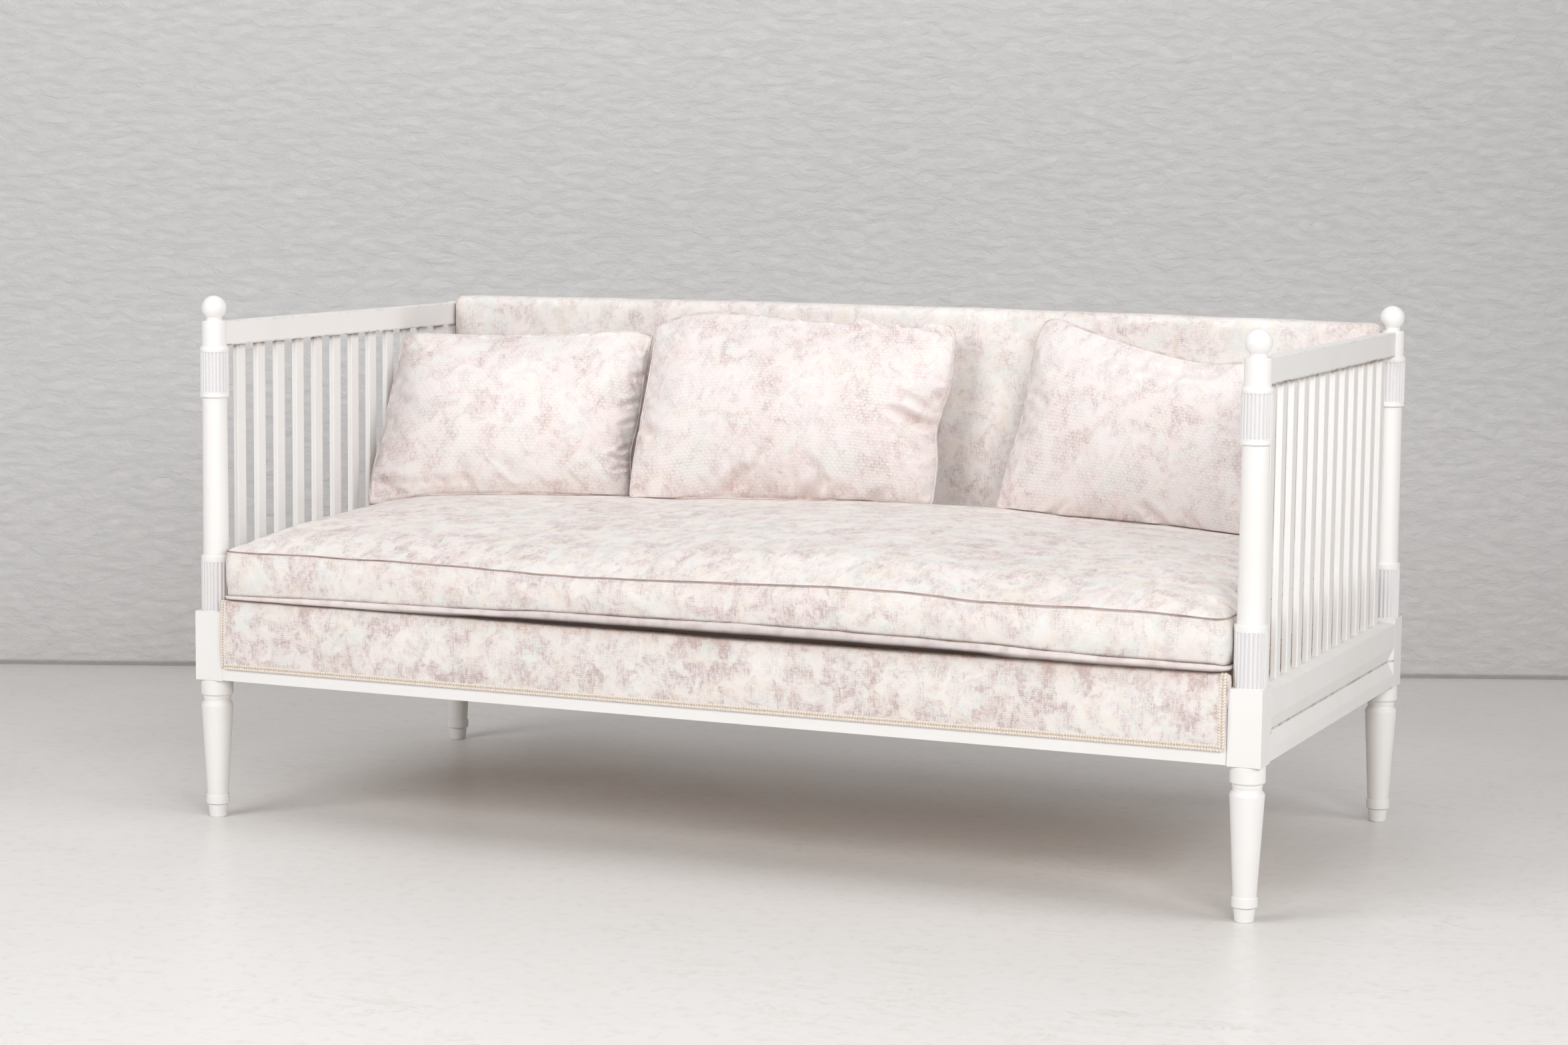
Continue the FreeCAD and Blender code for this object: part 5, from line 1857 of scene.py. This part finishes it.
@dataclass(frozen=True)
class StudioFloor(Finish):
    """A pale floor with a soft shine."""

    def paint(self, bench: NodeBench, shader: bpy.types.Node) -> None:
        """Draws a pale floor with faint clouds, specks and fine cracks, and painted shade that darkens it towards the
        wall.

        Args:
            bench: The material's nodes.
            shader: Its Principled node.
        """
        place = bench.put("TexCoord").outputs["Object"]
        clouds = bench.rise(bench.cloud(place, 1.6, 5.0, 0.6), 0.4, 0.75)
        # Painted shade: the floor darkens from the front towards the wall.
        near = bench.rise(bench.put("SeparateXYZ", {0: place}).outputs[1], -2.6, 1.6)
        colour = bench.blend(near, (0.895, 0.876, 0.858), (0.805, 0.784, 0.764))
        worn = bench.blend(1.0, colour, (0.955, 0.948, 0.94), "MULTIPLY")
        colour = bench.blend(clouds, colour, worn)
        specks = bench.rise(bench.cloud(place, 42.0, 4.0, 0.7), 0.5, 0.7)
        colour = bench.blend(specks, colour, bench.blend(1.0, colour, (0.93, 0.92, 0.91), "MULTIPLY"))
        lines = bench.cloud(bench.stretched(place, (0.7, 2.4, 1.0)), 4.5, 8.0, 0.66, 1.2)
        lines = bench.rise(bench.sum_up("ABSOLUTE", bench.sum_up("SUBTRACT", lines, 0.5)), 0.0, 0.012, 0.0, 0.6)
        lines = bench.sum_up("MULTIPLY", lines, bench.rise(bench.cloud(place, 2.3, 4.0, 0.6), 0.44, 0.66))
        colour = bench.blend(lines, colour, (0.66, 0.61, 0.56))
        bench.feed(shader, {"Base Color": colour, "Roughness": bench.rise(clouds, 0.0, 1.0, 0.42, 0.34),
                            "Specular IOR Level": 0.35})


@dataclass
class Studio:
    """The floor, the wall, the lamps and the camera."""

    eye: Point = (2.2744, -5.3534, 1.1756)
    yaw: float = math.radians(-23.36)
    pitch: float = math.radians(6.42)
    roll: float = math.radians(0.58)
    focal: float = 5062.0 / 2352.0 * 36.0
    wall_distance: float = 7.46
    floor_half: float = 11.0
    wall_half: float = 9.0
    wall_height: float = 5.2
    lamps: tuple[tuple[str, Point, tuple[float, float], float], ...] = (
        ("front_left", (-2.2, -4.2, 2.9), (2.6, 2.0), 111.0),
        ("front_right", (3.2, -4.4, 2.7), (2.6, 2.0), 134.0),
        ("side_right", (4.4, -0.8, 2.6), (2.6, 2.0), 61.0),
        ("overhead", (0.2, -0.6, 3.7), (3.0, 2.2), 37.0),
    )
    air: float = 0.096

    def camera(self) -> None:
        """Sets the camera as the photograph was taken."""
        ahead = Vector((math.sin(self.yaw) * math.cos(self.pitch), math.cos(self.yaw) * math.cos(self.pitch),
                        -math.sin(self.pitch)))
        right = Vector((math.cos(self.yaw), -math.sin(self.yaw), 0.0))
        down = ahead.cross(right)
        c, s = math.cos(self.roll), math.sin(self.roll)
        across, below = right * c - down * s, right * s + down * c
        data = bpy.data.cameras.new("photo_camera")
        data.sensor_width = 36.0
        data.lens = self.focal
        data.clip_end = 60.0
        eye = bpy.data.objects.new("photo_camera", data)
        eye.matrix_world = Matrix((
            (across.x, -below.x, -ahead.x, self.eye[0]),
            (across.y, -below.y, -ahead.y, self.eye[1]),
            (across.z, -below.z, -ahead.z, self.eye[2]),
            (0, 0, 0, 1)))
        bpy.context.scene.collection.objects.link(eye)
        bpy.context.scene.camera = eye

    def backdrop(self) -> None:
        """Lays the floor and stands the wall square to the camera's view."""
        shape = bmesh.new()
        bmesh.ops.create_grid(shape, x_segments=8, y_segments=8, size=self.floor_half)
        floor = finished_mesh("studio_floor", shape)
        floor.data.materials.append(StudioFloor("studio_floor").material())
        ahead = Vector((math.sin(self.yaw), math.cos(self.yaw), 0))
        side = Vector((math.cos(self.yaw), -math.sin(self.yaw), 0))
        foot = Vector((self.eye[0], self.eye[1], 0)) + ahead * self.wall_distance
        shape = bmesh.new()
        bmesh.ops.create_grid(shape, x_segments=8, y_segments=4, size=1.0)
        for vertex in shape.verts:
            across, up = vertex.co.x * self.wall_half, (vertex.co.y + 1) / 2 * self.wall_height
            vertex.co = foot + side * across + Vector((0, 0, up))
        for face in shape.faces:
            face.normal_update()
        if shape.faces[:][0].normal.dot(ahead) > 0:
            bmesh.ops.reverse_faces(shape, faces=shape.faces)
        wall = finished_mesh("studio_wall", shape)
        wall.data.materials.append(PlasterWall("studio_wall").material())

    def light(self) -> None:
        """Hangs the soft lamps and fills the air."""
        target = Vector((0, 0, 0.45))
        for name, place, size, power in self.lamps:
            data = bpy.data.lights.new(name, "AREA")
            data.shape = "RECTANGLE"
            data.size, data.size_y = size
            data.energy = power
            lamp = bpy.data.objects.new(name, data)
            lamp.location = place
            lamp.rotation_euler = (target - Vector(place)).to_track_quat("-Z", "Y").to_euler()
            lamp.visible_camera = False
            bpy.context.scene.collection.objects.link(lamp)
        world = bpy.data.worlds.new("studio_air")
        world.use_nodes = True
        world.node_tree.nodes.clear()
        bench = NodeBench(world.node_tree)
        shown = bench.put("LightPath").outputs["Is Camera Ray"]
        air = bench.put("Background", {"Color": (1.0, 0.995, 0.985, 1.0), "Strength": self.air}).outputs[0]
        far = bench.put("Background", {"Color": (0.72, 0.715, 0.71, 1.0), "Strength": 1.0}).outputs[0]
        both = bench.put("MixShader", {0: shown, 1: air, 2: far}).outputs[0]
        bench.put("OutputWorld", {"Surface": both})
        bpy.context.scene.world = world

    def make(self) -> None:
        """Sets up the whole studio."""
        self.camera()
        self.backdrop()
        self.light()
        bpy.context.scene.view_settings.view_transform = "Standard"
        log.info("studio: %d lamps", len(self.lamps))


# ---- The bench ----


def creased(*rows: tuple[float, float, float, float, float, float]) -> tuple[Crease, ...]:
    """Folds from rows that hold a start, an end, a width and a depth."""
    return tuple(Crease(row[:2], row[2:4], *row[4:]) for row in rows)


def loose_cushions() -> tuple[LooseCushion, ...]:
    """The three loose cushions, with the outlines and folds that the photograph shows."""
    return (
        LooseCushion(
            "cushion_left",
            ((-0.880, 0.020, 0.514), (-0.464, 0.251, 0.521), (-0.901, 0.190, 0.806), (-0.445, 0.308, 0.821)),
            low=Course(((0, -0.02), (0.1, -0.01), (0.3, 0.005), (0.66, -0.003), (0.9, -0.015), (1, -0.02))),
            top=Course(((0, 0.985), (0.06, 1.015), (0.3, 1.02), (0.66, 1.024), (0.87, 1.016), (1, 0.99))),
            left=Course(((0, 0.003), (0.16, -0.008), (0.5, -0.004), (0.94, -0.002), (1, 0.0))),
            right=Course(((0, 1.0), (0.06, 1.01), (0.22, 0.994), (0.27, 0.988), (0.5, 1.001), (0.82, 0.998),
                          (1, 1.01))),
            cloth_place=(10.3, 1.1),
            creases=creased((-0.53, 0.84, 0.08, 0.98, 0.035, 0.005), (-0.2, 0.74, 0.3, 0.97, 0.03, 0.003),
                            (0.86, -0.50, 1.0, -0.53, 0.028, 0.010), (0.93, -0.42, 1.0, -0.36, 0.025, 0.009),
                            (0.86, -0.66, 1.0, -0.61, 0.022, 0.005), (0.90, 0.12, 1.0, 0.2, 0.03, 0.006),
                            (0.90, -0.12, 1.0, -0.04, 0.03, 0.006), (0.92, 0.45, 1.0, 0.5, 0.03, 0.005),
                            (-0.95, 0.2, -0.84, 0.1, 0.04, 0.004), (-0.9, -0.8, -0.3, -0.86, 0.05, 0.004))),
        LooseCushion(
            "cushion_centre",
            ((-0.432, 0.197, 0.518), (0.138, 0.283, 0.529), (-0.430, 0.304, 0.870), (0.146, 0.320, 0.839)),
            low=Course(((0, 0.02), (0.1, -0.004), (0.31, 0.02), (0.52, 0.012), (0.8, -0.004), (0.93, -0.012),
                        (1, 0.01))),
            top=Course(((0, 0.90), (0.04, 0.935), (0.1, 0.972), (0.23, 1.011), (0.38, 1.038), (0.6, 1.059),
                        (0.82, 1.071), (0.94, 1.064), (1, 1.03))),
            left=Course(((0, -0.002), (0.2, -0.005), (0.4, -0.001), (0.71, 0.007), (1, 0.012))),
            right=Course(((0, 0.985), (0.22, 0.99), (0.41, 0.979), (0.51, 0.99), (0.66, 1.011), (0.84, 1.027),
                          (1, 1.01))),
            cloth_place=(12.9, 4.2),
            creases=creased((0.7, 0.02, 1.0, -0.14, 0.045, 0.011), (0.72, 0.2, 1.0, 0.02, 0.04, 0.006),
                            (-0.35, -0.98, -0.2, -0.72, 0.05, 0.009), (0.18, -0.99, 0.3, -0.8, 0.05, 0.008),
                            (0.62, -0.99, 0.7, -0.82, 0.05, 0.006), (-0.98, -0.2, -0.8, -0.32, 0.05, 0.006),
                            (-0.5, 0.75, -0.1, 0.5, 0.06, 0.003), (0.1, 0.98, 0.2, 0.7, 0.05, 0.003))),
        LooseCushion(
            "cushion_right",
            ((0.262, 0.250, 0.531), (0.770, 0.192, 0.512), (0.327, 0.320, 0.869), (0.735, 0.250, 0.812)),
            low=Course(((0, -0.005), (0.1, -0.02), (0.22, -0.022), (0.44, -0.012), (0.65, -0.012), (1, -0.025))),
            top=Course(((0, 0.985), (0.06, 1.012), (0.17, 0.993), (0.37, 0.966), (0.54, 0.946), (0.7, 0.936),
                        (0.81, 0.936), (0.88, 0.954), (1, 0.985))),
            left=Course(((0, 0.0), (0.28, 0.002), (0.48, 0.009), (0.67, -0.003), (0.89, -0.017), (1, -0.004))),
            right=Course(((0, 0.96), (0.41, 0.975), (0.79, 0.99), (1, 0.965))),
            cloth_place=(16.2, 6.7),
            creases=creased((-0.55, -0.98, -0.42, -0.8, 0.045, 0.006), (0.35, -0.98, 0.2, -0.78, 0.05, 0.008),
                            (0.62, -0.98, 0.5, -0.74, 0.04, 0.005), (-0.8, 0.6, -0.3, 0.72, 0.05, 0.003),
                            (-0.2, 0.8, 0.7, 0.86, 0.045, 0.005), (-0.98, 0.1, -0.75, 0.0, 0.05, 0.004))),
    )


def main() -> None:
    """Builds the bench's looks piece by piece."""
    logging.basicConfig(level=logging.INFO, format="%(message)s", force=True)
    Studio().make()
    Woodwork().dress()
    back = BackPad()
    back.build()
    RearCover().make()
    front = FrontPad()
    front.build()
    GimpBraid().make(front.face)
    seat = SeatCushion().make()
    seat_faces = tree_of(seat)
    for cushion in loose_cushions():
        cushion.make(seat_faces, back.front_face)


if __name__ == "__main__":
    main()
